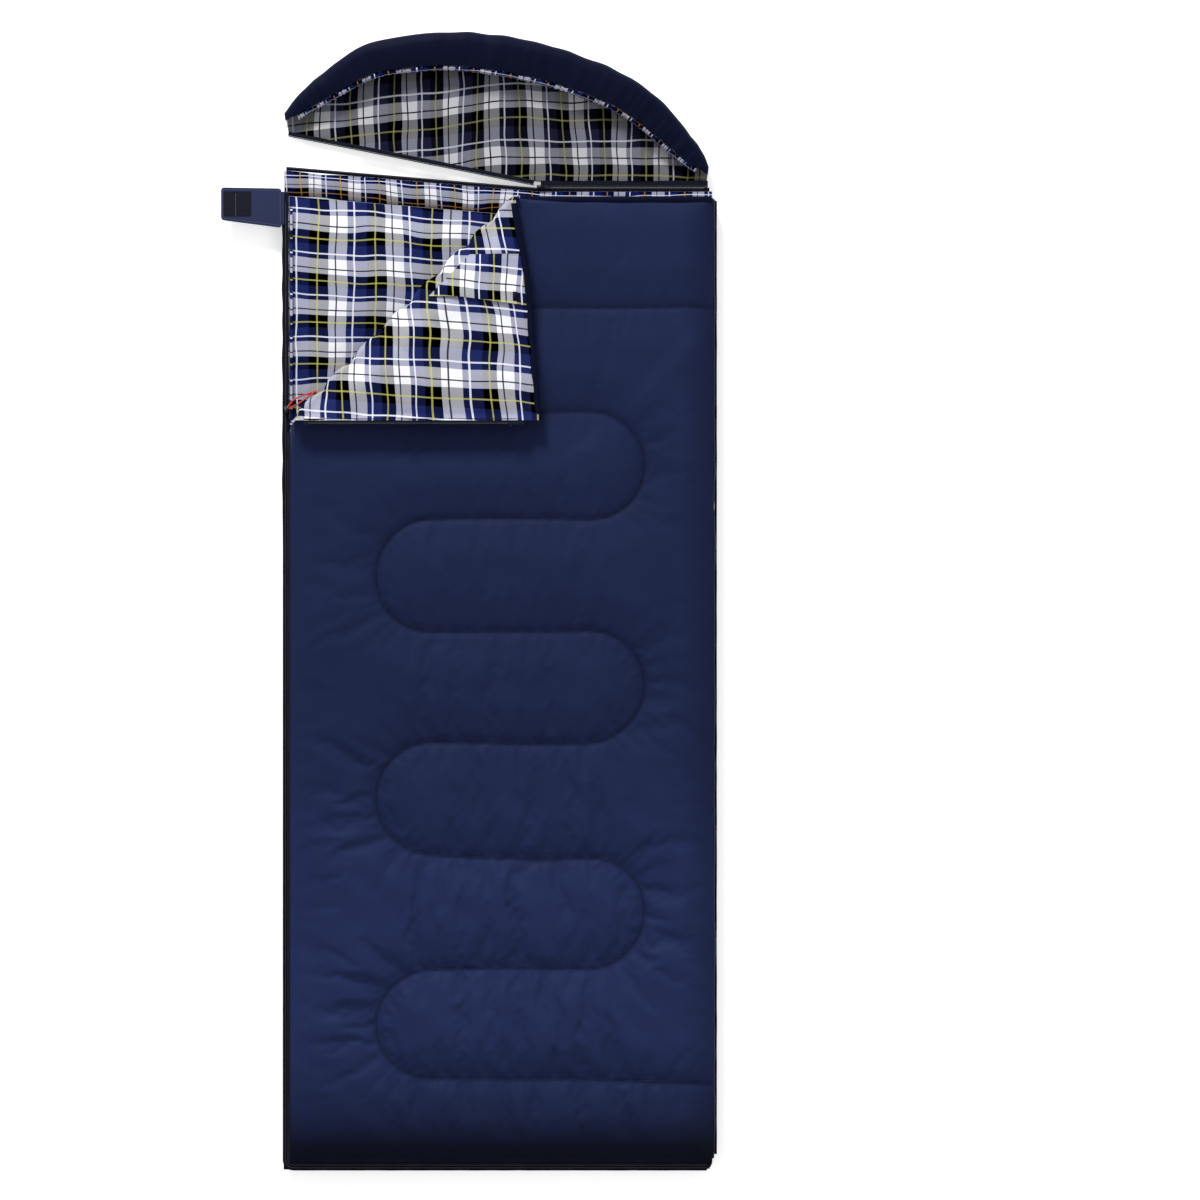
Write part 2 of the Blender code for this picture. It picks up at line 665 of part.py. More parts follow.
def link(name, place, outer, inner, thick):
    """A flat closed link. outer and inner are (low, high, half width) of its two outlines."""
    rings = []
    for (low, high, half), lift in ((outer, -thick), (outer, thick), (inner, thick), (inner, -thick)):
        corners = [(low, -half), (high, -half), (high, half), (low, half)]
        rings.append([place(a, b, lift) for a, b in rounded(corners, half * 0.5, 2)])
    count = len(rings[0])
    faces = []
    for r in range(4):
        for k in range(count):
            here, after = r * count, (r + 1) % 4 * count
            faces.append((here + k, here + (k + 1) % count, after + (k + 1) % count, after + k))
    return make(name, "metal", [p for ring in rings for p in ring], faces)


NECK_PULL_Z = NECK_CHAIN_Z + SLIDER_HALF_GAP + SLIDER_PLATE + 0.0012
LINK_THICK = 0.0005


def side_on_edge(out, up, across):
    return side_frame(out, across, up)


link("side_pull", side_on_edge, (-0.0031, 0.0090, 0.0021), (-0.0022, 0.0079, 0.0013), LINK_THICK)
link("neck_pull", neck_frame, (-0.0006, 0.0200, 0.0030), (0.0006, 0.0075, 0.0016), LINK_THICK)


def tube(name, slot, path, radius):
    curve = bpy.data.curves.new(name, "CURVE")
    curve.dimensions = "3D"
    curve.bevel_depth = radius
    curve.bevel_resolution = 2
    curve.use_fill_caps = True
    line = curve.splines.new("POLY")
    line.points.add(len(path) - 1)
    for place, point in zip(line.points, path):
        place.co = (*point, 1.0)
    curve.materials.append(material(slot))
    obj = bpy.data.objects.new(name, curve)
    bpy.context.scene.collection.objects.link(obj)
    return obj


# Pull cord: one length of cord through the pull's far end, both ends held in a knot.
CORD_R = 0.0009
CORD_EYE = 0.0064
CORD_TIP = Vector((-0.3625, 0.5555, 0.0440))
CORD_AHEAD = 0.020
CORD_APART = 0.0060
CORD_PASS = 0.0016
CORD_AT_EYE = 0.03
CORD_POINTS = 45


def cord_middle(far):
    """The line midway between the cord's two halves, and the level direction square to it."""
    eye = side_frame(CORD_EYE, 0.0, 0.0)
    bend = eye + PULL_LEVEL * CORD_AHEAD + Vector((0, 0, 0.004))
    here = eye * (1 - far) ** 2 + bend * 2 * far * (1 - far) + CORD_TIP * far * far
    ahead = (bend - eye) * (1 - far) + (CORD_TIP - bend) * far
    return here, Vector((-ahead.y, ahead.x, 0.0)).normalized(), ahead.normalized()


def cord_point(t):
    """t runs from -1 at one end, through 0 in the pull, to 1 at the other."""
    far = abs(t)
    here, side, ahead = cord_middle(max(far - CORD_AT_EYE, 0.0) / (1 - CORD_AT_EYE))
    across = CORD_PASS * min(far / CORD_AT_EYE, 1.0) + CORD_APART * math.sin(math.pi * far) ** 1.5
    return here + side * math.copysign(across, t)


steps = [-1 + 2 * k / (CORD_POINTS - 1) for k in range(CORD_POINTS)]
tube("pull_cord", "cord", [cord_point(math.copysign(abs(t) ** 1.5, t)) for t in steps], CORD_R)
tip, knot_side, knot_ahead = cord_middle(1.0)
knot = []
for k, radius in enumerate((0.0022, 0.0036, 0.0036, 0.0022)):
    centre = tip + knot_ahead * (0.0014 + k * 0.0024)
    knot.append(ring_points(centre, knot_side, knot_side.cross(knot_ahead), radius, 10))
sweep("cord_knot", "cord", knot)
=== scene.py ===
"""Looks of the rectangular sleeping bag: quilted fabric, tartan lining, zips, hood, cord and stitching."""
import math

import bmesh
import bpy
import numpy as np
from mathutils import Matrix, Vector


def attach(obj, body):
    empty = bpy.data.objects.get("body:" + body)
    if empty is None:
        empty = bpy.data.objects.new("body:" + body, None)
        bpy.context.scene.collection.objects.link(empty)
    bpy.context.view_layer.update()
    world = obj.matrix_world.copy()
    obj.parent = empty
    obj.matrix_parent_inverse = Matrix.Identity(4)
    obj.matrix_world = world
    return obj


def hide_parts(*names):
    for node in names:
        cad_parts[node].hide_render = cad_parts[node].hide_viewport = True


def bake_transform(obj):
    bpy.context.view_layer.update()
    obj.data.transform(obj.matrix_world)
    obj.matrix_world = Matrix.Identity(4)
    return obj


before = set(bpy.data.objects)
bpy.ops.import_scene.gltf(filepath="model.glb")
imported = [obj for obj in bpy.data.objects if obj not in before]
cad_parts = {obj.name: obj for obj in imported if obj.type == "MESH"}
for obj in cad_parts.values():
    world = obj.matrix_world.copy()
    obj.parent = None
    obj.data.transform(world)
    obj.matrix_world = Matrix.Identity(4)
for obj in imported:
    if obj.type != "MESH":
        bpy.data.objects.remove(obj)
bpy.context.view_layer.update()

# The frame is the record's: +X to the bag's right, +Y towards the head, +Z up. All sizes in metres.
PANEL_LEFT, PANEL_RIGHT = -0.4195, 0.4110
FRONT_LEFT = -0.4045
FRONT_FOOT, BACK_FOOT = -0.9317, -0.9467
FRONT_TOP, FRONT_TOP_RISE = 0.932, 0.040
BAND_TOP, BAND_RISE, BAND_WIDTH, RISE_FROM = 0.949, 0.041, 0.050, 0.070
HINGE_X, HINGE_Z = 0.4165, 0.031
FOLD_OFFSET, FOLD_Z = 0.905, 0.0635
MIDDLE_Z = 0.047
CHAIN_X, CHAIN_Z, CHAIN_FOOT, CHAIN_CORNER = -0.4128, 0.031, -0.9400, 0.012
CHAIN_TOP, FOOT_END, SLIDER_Y = 0.925, 0.400, 0.523
NECK_CHAIN_Y, NECK_CHAIN_Z, NECK_SLIDER_X = 0.9555, 0.0195, 0.078
HOOD_NECK, HOOD_SLOPE = 0.968, 0.200
RUNS = (0.720, 0.519, 0.311, 0.100, -0.120, -0.338, -0.554, -0.770)
RIGHT_REACH, LEFT_REACH = 0.278, -0.240
CELL = 0.0045
UP = np.array((0.0, 0.0, 1.0))


def smooth(value):
    value = np.clip(value, 0.0, 1.0)
    return value * value * (3 - 2 * value)


def rise(x, amount):
    return amount * np.maximum(RISE_FROM - x, 0.0) / (RISE_FROM - PANEL_LEFT)


def front_top(x):
    return FRONT_TOP + rise(x, FRONT_TOP_RISE)


def band_top(x):
    return BAND_TOP + rise(x, BAND_RISE)


def hood_neck(x):
    return HOOD_NECK + np.maximum(RISE_FROM - x, 0.0) * HOOD_SLOPE


def ripples(x, y, wavelength, seed, count=12):
    """Smooth noise of about that wavelength, roughly from -1 to 1."""
    draw = np.random.default_rng(seed)
    total = 0.0
    for _ in range(count):
        heading = draw.uniform(0, 2 * math.pi)
        pace = 2 * math.pi / (wavelength * draw.uniform(0.7, 1.5))
        along = x * math.cos(heading) + y * math.sin(heading)
        total = total + np.sin(pace * along + draw.uniform(0, 2 * math.pi))
    return total / math.sqrt(count)


def power(value, exponent):
    """The power of a value's size, with its sign kept."""
    return math.copysign(abs(value) ** exponent, value)


# ---------------------------------------------------------------- materials
def opaque(colour, scale=1.0, lift=0.0):
    return (*[min(c * scale + lift, 1.0) for c in colour], 1.0)


class Nodes:
    """A short hand for building a material's nodes."""

    def __init__(self, name):
        self.material = bpy.data.materials.new(name)
        self.material.use_nodes = True
        self.tree = self.material.node_tree
        self.shader = self.tree.nodes["Principled BSDF"]

    def add(self, kind, **settings):
        node = self.tree.nodes.new(kind)
        for key, value in settings.items():
            setattr(node, key, value)
        return node

    def join(self, source, socket):
        if isinstance(source, (int, float, tuple)):
            socket.default_value = source
        else:
            self.tree.links.new(source, socket)

    def maths(self, operation, *sources):
        node = self.add("ShaderNodeMath", operation=operation)
        for socket, source in zip(node.inputs, sources):
            self.join(source, socket)
        return node.outputs[0]

    def mix(self, share, first, second, blend="MIX"):
        node = self.add("ShaderNodeMix", data_type="RGBA", blend_type=blend)
        self.join(share, node.inputs[0])
        self.join(first, node.inputs[6])
        self.join(second, node.inputs[7])
        return node.outputs[2]

    def noise(self, where, scale, detail=2.0, roughness=0.5):
        node = self.add("ShaderNodeTexNoise")
        self.join(where, node.inputs["Vector"])
        node.inputs["Scale"].default_value = scale
        node.inputs["Detail"].default_value = detail
        node.inputs["Roughness"].default_value = roughness
        return node.outputs[0]

    def ramp(self, source, stops, interpolation="LINEAR"):
        node = self.add("ShaderNodeValToRGB")
        ramp = node.color_ramp
        ramp.interpolation = interpolation
        while len(ramp.elements) < len(stops):
            ramp.elements.new(0.5)
        for element, (place, colour) in zip(ramp.elements, stops):
            element.position = place
            element.color = opaque(colour if isinstance(colour, tuple) else (colour,) * 3)
        self.join(source, node.inputs[0])
        return node.outputs[0]

    def remap(self, source, low, high):
        node = self.add("ShaderNodeMapRange")
        self.join(source, node.inputs[0])
        node.inputs[3].default_value = low
        node.inputs[4].default_value = high
        return node.outputs[0]

    def bump(self, height, strength, distance, under=None):
        node = self.add("ShaderNodeBump")
        node.inputs["Strength"].default_value = strength
        node.inputs["Distance"].default_value = distance
        self.join(height, node.inputs["Height"])
        if under is not None:
            self.join(under, node.inputs["Normal"])
        return node.outputs[0]

    def metres(self):
        """(vector, x, y) of the piece's fabric coordinates, which are in metres."""
        where = self.add("ShaderNodeUVMap", uv_map="Fabric").outputs[0]
        apart = self.add("ShaderNodeSeparateXYZ")
        self.join(where, apart.inputs[0])
        return where, apart.outputs[0], apart.outputs[1]

    def place(self):
        return self.add("ShaderNodeTexCoord").outputs["Object"]

    def set(self, **values):
        for key, value in values.items():
            self.shader.inputs[key.replace("_", " ")].default_value = value

    def finish(self, colour, roughness, normal=None):
        self.join(colour, self.shader.inputs["Base Color"])
        self.join(roughness, self.shader.inputs["Roughness"])
        if normal is not None:
            self.join(normal, self.shader.inputs["Normal"])
        return self.material


WEAVE, TWILL = 0.0011, 0.0026
RIBS, HOOKS = 100.0, 900.0


def shell_material(name, base, foot_shade, with_groove_shade=False, shine=0.06):
    """Navy woven polyester: a plain weave with a slight sheen. It may carry painted shade towards the foot and
    along the right-hand edge, a painted brightness gradient along the bag, and painted shade in the grooves
    beside the stitching.
    """
    n = Nodes(name)
    where, x, y = n.metres()
    weave = n.maths("MULTIPLY", *[n.maths("SINE", n.maths("MULTIPLY", k, 2 * math.pi / WEAVE)) for k in (x, y)])
    patchy = n.noise(where, 9.0, 3.0)
    threads = n.noise(where, 420.0, 2.0)
    light = opaque(base, 1.22, 0.001)
    colour = n.mix(n.remap(patchy, 0.1, 0.9), opaque(base, 0.78), light)
    colour = n.mix(n.remap(threads, 0.0, 0.30), colour, light)
    if with_groove_shade:
        # Painted shade: the colour darkened in the groove beside the stitching.
        groove_shade_mask = n.add("ShaderNodeAttribute", attribute_name="Seam").outputs["Fac"]
        colour = n.mix(groove_shade_mask, colour, opaque(base, 0.30))
    # Painted shade and light: the colour darkened hard towards the foot, lightest over the lower third and
    # dimmer from the middle up.
    if foot_shade:
        place = n.add("ShaderNodeSeparateXYZ")
        n.join(n.place(), place.inputs[0])
        shade = n.ramp(n.maths("ADD", n.maths("MULTIPLY", place.outputs[1], 0.5), 0.5),
                       ((0.028, 0.05), (0.052, 0.15), (0.080, 0.56), (0.11, 0.80), (0.16, 0.97), (0.30, 0.92),
                        (0.42, 0.71), (0.50, 0.65)))
        colour = n.mix(1.0, colour, shade, "MULTIPLY")
        # Painted shade: the colour darkened along the right-hand edge.
        edge_shade = n.ramp(n.maths("ADD", place.outputs[0], 0.5), ((0.85, 1.0), (0.90, 0.72)))
        colour = n.mix(1.0, colour, edge_shade, "MULTIPLY")
    height = n.maths("ADD", n.maths("MULTIPLY", weave, 0.35), threads)
    normal = n.bump(n.noise(where, 60.0, 3.0), 0.18, 0.0015, n.bump(height, 0.12, 0.0003))
    n.set(Sheen_Weight=0.006, Sheen_Roughness=0.4, Specular_IOR_Level=shine)
    return n.finish(colour, n.remap(patchy, 0.52, 0.66), normal)


LIGHT, BLUE, BLACK = (0.80, 0.80, 0.86), (0.009, 0.030, 0.170), (0.0015, 0.0015, 0.003)
DARK_LINE, WHITE_LINE = (0.012, 0.014, 0.030), (0.88, 0.89, 0.95)


def lining_material(name, bright, grey, contrast=1.35, across=0.111, along=0.082, stripe=(0.62, 0.60, 0.16)):
    """Brushed tartan twill. bright scales it, grey takes colour away and contrast deepens its darks."""
    n = Nodes(name)
    where, x, y = n.metres()
    wander = n.remap(n.noise(where, 6.0, 2.0), -0.012, 0.012)
    shifted = n.add("ShaderNodeVectorMath", operation="ADD")
    n.join(where, shifted.inputs[0])
    shifted.inputs[1].default_value = (3.7, 1.9, 0.0)
    drift = n.remap(n.noise(shifted.outputs[0], 5.0, 2.0), -0.016, 0.016)
    u = n.maths("FRACT", n.maths("ADD", n.maths("DIVIDE", n.maths("ADD", x, wander), across), 40.0))
    v = n.maths("FRACT", n.maths("ADD", n.maths("DIVIDE", n.maths("SUBTRACT", drift, y), along), 40.0))
    warp = n.ramp(u, ((0.0, LIGHT), (0.31, BLUE), (0.65, BLACK)), "CONSTANT")
    weft = n.ramp(v, ((0.0, LIGHT), (0.36, BLACK), (0.67, BLUE)), "CONSTANT")
    twill = n.maths("SINE", n.maths("MULTIPLY", n.maths("ADD", x, y), 2 * math.pi / TWILL))
    twill_rough = n.maths("ADD", twill, n.remap(n.noise(where, 700.0), -0.8, 0.8))
    share = n.remap(n.maths("ADD", n.maths("MULTIPLY", twill_rough, 0.5), 0.5), 0.36, 0.64)
    colour = n.mix(share, warp, weft)

    for coordinate, centre, half, tint, strength in (
            (u, 0.125, 0.013, DARK_LINE, 0.86), (v, 0.235, 0.016, DARK_LINE, 0.86),
            (u, 0.43, 0.014, WHITE_LINE, 0.70), (v, 0.885, 0.017, WHITE_LINE, 0.70),
            (u, 0.81, 0.014, stripe, 0.60), (v, 0.54, 0.017, stripe, 0.60)):
        near = n.maths("ABSOLUTE", n.maths("SUBTRACT", coordinate, centre))
        on_line = n.maths("MULTIPLY", n.maths("LESS_THAN", near, half), strength)
        colour = n.mix(on_line, colour, opaque(tint))
    dull = n.add("ShaderNodeHueSaturation")
    dull.inputs["Saturation"].default_value = 1.0 - grey
    dull.inputs["Value"].default_value = bright
    deepened = n.add("ShaderNodeGamma")
    deepened.inputs[1].default_value = contrast
    n.join(colour, deepened.inputs[0])
    n.join(deepened.outputs[0], dull.inputs["Color"])
    nap = n.noise(where, 900.0, 3.0, 0.7)
    shaded = n.mix(1.0, dull.outputs[0], (0.75, 0.75, 0.75, 1.0), "MULTIPLY")
    colour = n.mix(n.remap(nap, 0.0, 0.35), dull.outputs[0], shaded)
    normal = n.bump(n.noise(where, 45.0, 3.0), 0.25, 0.002, n.bump(n.maths("ADD", nap, twill), 0.16, 0.0004))
    n.set(Sheen_Weight=0.001, Sheen_Roughness=0.6, Specular_IOR_Level=0.002)
    return n.finish(colour, n.remap(nap, 0.86, 0.97), normal)


def tape_material(name, base):
    """Ribbed woven tape."""
    n = Nodes(name)
    where = n.place()
    ribs = n.add("ShaderNodeTexWave", bands_direction="DIAGONAL")
    ribs.inputs["Scale"].default_value = RIBS
    n.join(where, ribs.inputs[0])
    speck = n.noise(where, 900.0, 2.0)
    colour = n.mix(speck, opaque(base, 0.6), opaque(base, 1.5))
    n.set(Sheen_Weight=0.005, Specular_IOR_Level=0.05)
    height = n.maths("ADD", ribs.outputs[1], speck)
    return n.finish(colour, n.remap(speck, 0.7, 0.9), n.bump(height, 0.25, 0.0003))


def hard_material(name, base, metallic, low, high):
    """Painted metal or moulded plastic, with scuffs."""
    n = Nodes(name)
    where = n.place()
    scuff = n.noise(where, 240.0, 4.0, 0.6)
    grain = n.noise(where, 1600.0, 2.0)
    colour = n.mix(n.ramp(scuff, ((0.52, 0.0), (0.70, 0.5))), opaque(base), opaque(base, 2.2, 0.02))
    n.set(Metallic=metallic, Specular_IOR_Level=0.5)
    return n.finish(colour, n.remap(scuff, low, high), n.bump(grain, 0.08, 0.0002))


def cord_material(name, base):
    """Twisted cord: fibres that run along each strand."""
    n = Nodes(name)
    where = n.place()
    fibre = n.noise(where, 1400.0, 3.0, 0.7)
    colour = n.mix(fibre, opaque(base, 0.72), opaque(base, 1.25))
    n.set(Sheen_Weight=0.2, Specular_IOR_Level=0.25)
    return n.finish(colour, n.remap(fibre, 0.62, 0.85), n.bump(fibre, 0.3, 0.0002))


def patch_material(name, base):
    """Hook or loop tape: a dense field of small hooks."""
    n = Nodes(name)
    where = n.place()
    cells = n.add("ShaderNodeTexVoronoi")
    cells.inputs["Scale"].default_value = HOOKS
    n.join(where, cells.inputs["Vector"])
    colour = n.mix(cells.outputs[0], opaque(base, 1.9, 0.001), opaque(base))
    n.set(Sheen_Weight=0.01, Specular_IOR_Level=0.1)
    return n.finish(colour, n.remap(n.noise(where, 300.0), 0.6, 0.9), n.bump(cells.outputs[0], 0.5, 0.0008))


NAVY = (0.0155, 0.0248, 0.0865)
SHELL = shell_material("shell_front", NAVY, True)
SHELL_QUILT = shell_material("shell_quilt", NAVY, True, True)
SHELL_DARK = shell_material("shell_hood", (0.0022, 0.0036, 0.0155), False, False, 0.035)
SHELL_TAB = shell_material("shell_tab", (0.0200, 0.0255, 0.066), False)
LINING = lining_material("lining_body", 1.12, 0.10)
LINING_FLAP = lining_material("lining_flap", 1.18, 0.12)
# Painted shade: a darker, greyer, higher-contrast copy of the body lining for the inside of the hood.
LINING_HOOD_SHADED = lining_material("lining_hood", 0.60, 0.35, 1.8)
LINING_BAND = lining_material("lining_band", 0.95, 0.05, 1.5, 0.074, 0.050, (0.66, 0.40, 0.13))
TAPE = tape_material("tape", (0.0060, 0.0072, 0.0135))
COIL = hard_material("coil", (0.013, 0.014, 0.021), 0.0, 0.40, 0.60)
METAL = hard_material("metal", (0.012, 0.012, 0.015), 0.6, 0.28, 0.55)
CORD = cord_material("cord", (0.62, 0.060, 0.032))
HOOK = patch_material("hook", (0.0050, 0.0056, 0.0095))
THREAD = cord_material("thread", (0.010, 0.014, 0.045))
THREAD_TAB = cord_material("thread_tab", (0.10, 0.11, 0.19))


# ---------------------------------------------------------------- meshes
def linked(name, data):
    obj = bpy.data.objects.new(name, data)
    bpy.context.scene.collection.objects.link(obj)
    return obj


def add_piece(mesh, body, slot, *replaced):
    """The mesh as a piece of the same name, in place of some CAD nodes. With no body, it is left unattached."""
    obj = linked(mesh.name, mesh)
    if body:
        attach(obj, body)
    if replaced:
        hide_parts(*replaced)
    return obj


def smooth_shaded(mesh):
    mesh.shade_smooth()
    mesh.set_sharp_from_angle(angle=math.radians(50))
    return mesh


def build(name, points, faces, materials, face_materials=None, uvs=None):
    """A smooth mesh. uvs gives each point's place on its fabric, in metres."""
    mesh = bpy.data.meshes.new(name)
    mesh.from_pydata(np.asarray(points, float).tolist(), [], faces)
    for material in materials:
        mesh.materials.append(material)
    if face_materials is not None:
        mesh.polygons.foreach_set("material_index", np.asarray(face_materials, np.int32))
    if uvs is not None:
        layer = mesh.uv_layers.new(name="Fabric")
        corner = np.zeros(len(mesh.loops), np.int32)
        mesh.loops.foreach_get("vertex_index", corner)
        layer.data.foreach_set("uv", np.asarray(uvs, np.float32)[corner].ravel())
    edit = bmesh.new()
    edit.from_mesh(mesh)
    bmesh.ops.recalc_face_normals(edit, faces=edit.faces)
    edit.to_mesh(mesh)
    edit.free()
    return smooth_shaded(mesh)


def rounded_corner(x, y, right, foot, radius):
    """The points near the bottom right-hand corner drawn in to a round one."""
    a, b = (x - right + radius) / radius, (foot + radius - y) / radius
    inside = (a > 1e-6) & (b > 1e-6)
    pull = np.where(inside, np.maximum(a, b) / np.maximum(np.hypot(a, b), 1e-6), 1.0)
    return (np.where(inside, right - radius + a * pull * radius, x),
            np.where(inside, foot + radius - b * pull * radius, y))


def flat_domain(left, right, foot, top, clip=None, warp=None):
    """A level grid over a rectangle, warped and cut at clip's line, (point, normal to keep away from)."""
    columns = int(round((right - left) / CELL))
    rows = int(round((top - foot) / CELL))
    edit = bmesh.new()
    made = [[edit.verts.new((left + (right - left) * j / columns, foot + (top - foot) * i / rows, 0))
             for j in range(columns + 1)] for i in range(rows + 1)]
    for i in range(rows):
        for j in range(columns):
            edit.faces.new((made[i][j], made[i][j + 1], made[i + 1][j + 1], made[i + 1][j]))
    if warp is not None:
        for vert in edit.verts:
            vert.co.y = float(warp(vert.co.x, vert.co.y))
    if clip is not None:
        bmesh.ops.bisect_plane(edit, geom=edit.verts[:] + edit.edges[:] + edit.faces[:], dist=1e-5,
                               plane_co=clip[0], plane_no=clip[1], clear_outer=True)
    edit.verts.index_update()
    points = np.array([v.co for v in edit.verts])[:, :2]
    faces = [tuple(v.index for v in f.verts) for f in edit.faces]
    rim = [tuple(loop.vert.index for loop in (edge.link_loops[0], edge.link_loops[0].link_loop_next))
           for edge in edit.edges if edge.is_boundary]
    edit.free()
    return points, faces, rim


def mark_groove_shade(mesh, near):
    """How far each point of the upper and lower skins is into the groove beside the stitching, 0 to 1: the mask
    for painted shade in that groove.
    """
    groove_shade_mask = mesh.attributes.new("Seam", "FLOAT", "POINT")
    values = np.exp(-(near / 0.0032) ** 2) * 0.8 + 0.12 * np.exp(-near / 0.015)
    groove_shade_mask.data.foreach_set("value", np.concatenate([values, values]).astype(np.float32))


def closed_body(name, upper, lower, faces, rim, materials, uvs):
    """Upper and lower copies of the faces, joined round the rim. Materials: upper, lower, rim."""
    count = len(upper)
    every = list(faces) + [tuple(i + count for i in reversed(face)) for face in faces]
    every += [(a, b, b + count, a + count) for a, b in rim]
    kinds = [0] * len(faces) + [1] * len(faces) + [2] * len(rim)
    return build(name, np.vstack([upper, lower]), every, materials, kinds, np.vstack([uvs, uvs]))


def grid_faces(rows, columns, around=False):
    faces = []
    for i in range(rows - 1):
        for j in range(columns if around else columns - 1):
            k = (j + 1) % columns
            faces.append((i * columns + j, i * columns + k, (i + 1) * columns + k, (i + 1) * columns + j))
    return faces


def grid_body(name, upper, lower, materials, uvs):
    """A closed body between two matching grids of points."""
    rows, columns = upper.shape[:2]
    rim = [(j, j + 1) for j in range(columns - 1)]
    rim += [((i + 1) * columns - 1, (i + 2) * columns - 1) for i in range(rows - 1)]
    rim += [((rows - 1) * columns + j + 1, (rows - 1) * columns + j) for j in range(columns - 1)]
    rim += [((i + 1) * columns, i * columns) for i in range(rows - 1)]
    return closed_body(name, upper.reshape(-1, 3), lower.reshape(-1, 3), grid_faces(rows, columns), rim,
                       materials, uvs.reshape(-1, 2))


def ring_tube(name, rings, material, uvs=None):
    """A closed tube through matching rings of points."""
    rings = np.asarray(rings, float)
    rows, columns = rings.shape[:2]
    faces = grid_faces(rows, columns, True)
    faces += [tuple(range(columns - 1, -1, -1)), tuple(range((rows - 1) * columns, rows * columns))]
    flat = None if uvs is None else np.asarray(uvs, float).reshape(-1, 2)
    return build(name, rings.reshape(-1, 3), faces, [material], None, flat)


def path_frames(path):
    """Each point's direction, and the two directions square to it, the second as near to up as can be."""
    path = np.asarray(path, float)
    ahead = np.gradient(path, axis=0)
    ahead /= np.maximum(np.linalg.norm(ahead, axis=1, keepdims=True), 1e-12)
    side = np.cross(ahead, [0.0, 0.0, 1.0])
    length = np.linalg.norm(side, axis=1, keepdims=True)
    side = np.where(length > 1e-6, side / np.maximum(length, 1e-12), [1.0, 0.0, 0.0])
    return ahead, side, np.cross(side, ahead)


def around(count):
    return np.linspace(0, 2 * math.pi, count, endpoint=False)


def tube_rings(path, radius, count=8):
    path = np.asarray(path, float)
    ahead, side, up = path_frames(path)
    turn = around(count)
    radius = np.broadcast_to(np.asarray(radius, float), (len(path),))
    return (path[:, None] + side[:, None] * (np.cos(turn)[None, :, None] * radius[:, None, None])
            + up[:, None] * (np.sin(turn)[None, :, None] * radius[:, None, None]))


def evenly(path, step):
    """The path cut into equal steps of about that length."""
    path = np.asarray(path, float)
    along = np.concatenate([[0.0], np.cumsum(np.linalg.norm(np.diff(path, axis=0), axis=1))])
    count = max(int(round(along[-1] / step)), 1)
    places = np.linspace(0, along[-1], count + 1)
    return np.stack([np.interp(places, along, path[:, k]) for k in range(path.shape[1])], axis=1)


def sloped(slope):
    return tuple(slope * k for k in (-1.0, -0.5, 0.0, 0.5, 1.0))


def ribbon(name, path, half_width, wave, seed, heights, thick=0.0008):
    """A thin strip of tape along a path. heights are in half widths, from its left edge to its right one."""
    path = evenly(path, 0.004)
    ahead, side, up = path_frames(path)
    along = np.arange(len(path)) * 0.004
    half = np.broadcast_to(np.asarray(half_width, float), (len(path),))
    middle = []
    for k, height in zip(np.linspace(-1, 1, len(heights)), heights):
        lift = wave * ripples(along, along * 0 + k * 0.03, 0.05, seed) + half * height
        middle.append(path + side * (half * k)[:, None] + up * lift[:, None])
    middle = np.stack(middle, axis=1)
    upper, lower = middle + [0, 0, thick / 2], middle - [0, 0, thick / 2]
    return ring_tube(name, np.concatenate([upper, lower[:, ::-1]], axis=1), TAPE)


def joined(name, meshes):
    """One mesh from several, with their materials kept."""
    edit = bmesh.new()
    materials = []
    for mesh in meshes:
        before = len(edit.faces)
        edit.from_mesh(mesh)
        edit.faces.ensure_lookup_table()
        for material in mesh.materials:
            if material not in materials:
                materials.append(material)
        for face in edit.faces[before:]:
            face.material_index = materials.index(mesh.materials[face.material_index])
    made = bpy.data.meshes.new(name)
    edit.to_mesh(made)
    edit.free()
    for material in materials:
        made.materials.append(material)
    for mesh in meshes:
        bpy.data.meshes.remove(mesh)
    return made


# ---------------------------------------------------------------- the quilting line
def serpentine():
    """The one stitched line of a quilt: in at the right edge, back and forth, and out at the right edge."""
    points = [(PANEL_RIGHT - 0.004, RUNS[0])]
    for k in range(len(RUNS) - 1):
        top, bottom = RUNS[k], RUNS[k + 1]
        radius, middle = (top - bottom) / 2, (top + bottom) / 2
        to_left = k % 2 == 0
        centre = LEFT_REACH + radius if to_left else RIGHT_REACH - radius
        turns = np.linspace(math.pi / 2, (1.5 if to_left else -0.5) * math.pi, 26)
        points += [(centre + radius * math.cos(t), middle + radius * math.sin(t)) for t in turns]
    points.append((PANEL_RIGHT - 0.004, RUNS[-1]))
    line = evenly(points, 0.004)
    along = np.arange(len(line)) * 0.004
    line[:, 1] += 0.0035 * ripples(along, along * 0, 0.45, 5) * smooth(along / 0.05)
    return line


STITCHES = serpentine()


def to_stitches(x, y):
    """Distance to the stitched line, and how far along it the nearest point is."""
    near, place = np.empty(len(x)), np.empty(len(x))
    for start in range(0, len(x), 4000):
        part = slice(start, start + 4000)
        apart = (x[part, None] - STITCHES[None, :, 0]) ** 2 + (y[part, None] - STITCHES[None, :, 1]) ** 2
        best = apart.argmin(axis=1)
        near[part] = np.sqrt(apart[np.arange(len(best)), best])
        place[part] = best * 0.004
    return near, place


SKIN_STEP = 0.008
SKIN_COLUMNS = int(round((PANEL_RIGHT - FRONT_LEFT) / SKIN_STEP)) + 1
SKIN_ROWS = int(round((FRONT_TOP - FRONT_FOOT) / SKIN_STEP)) + 1


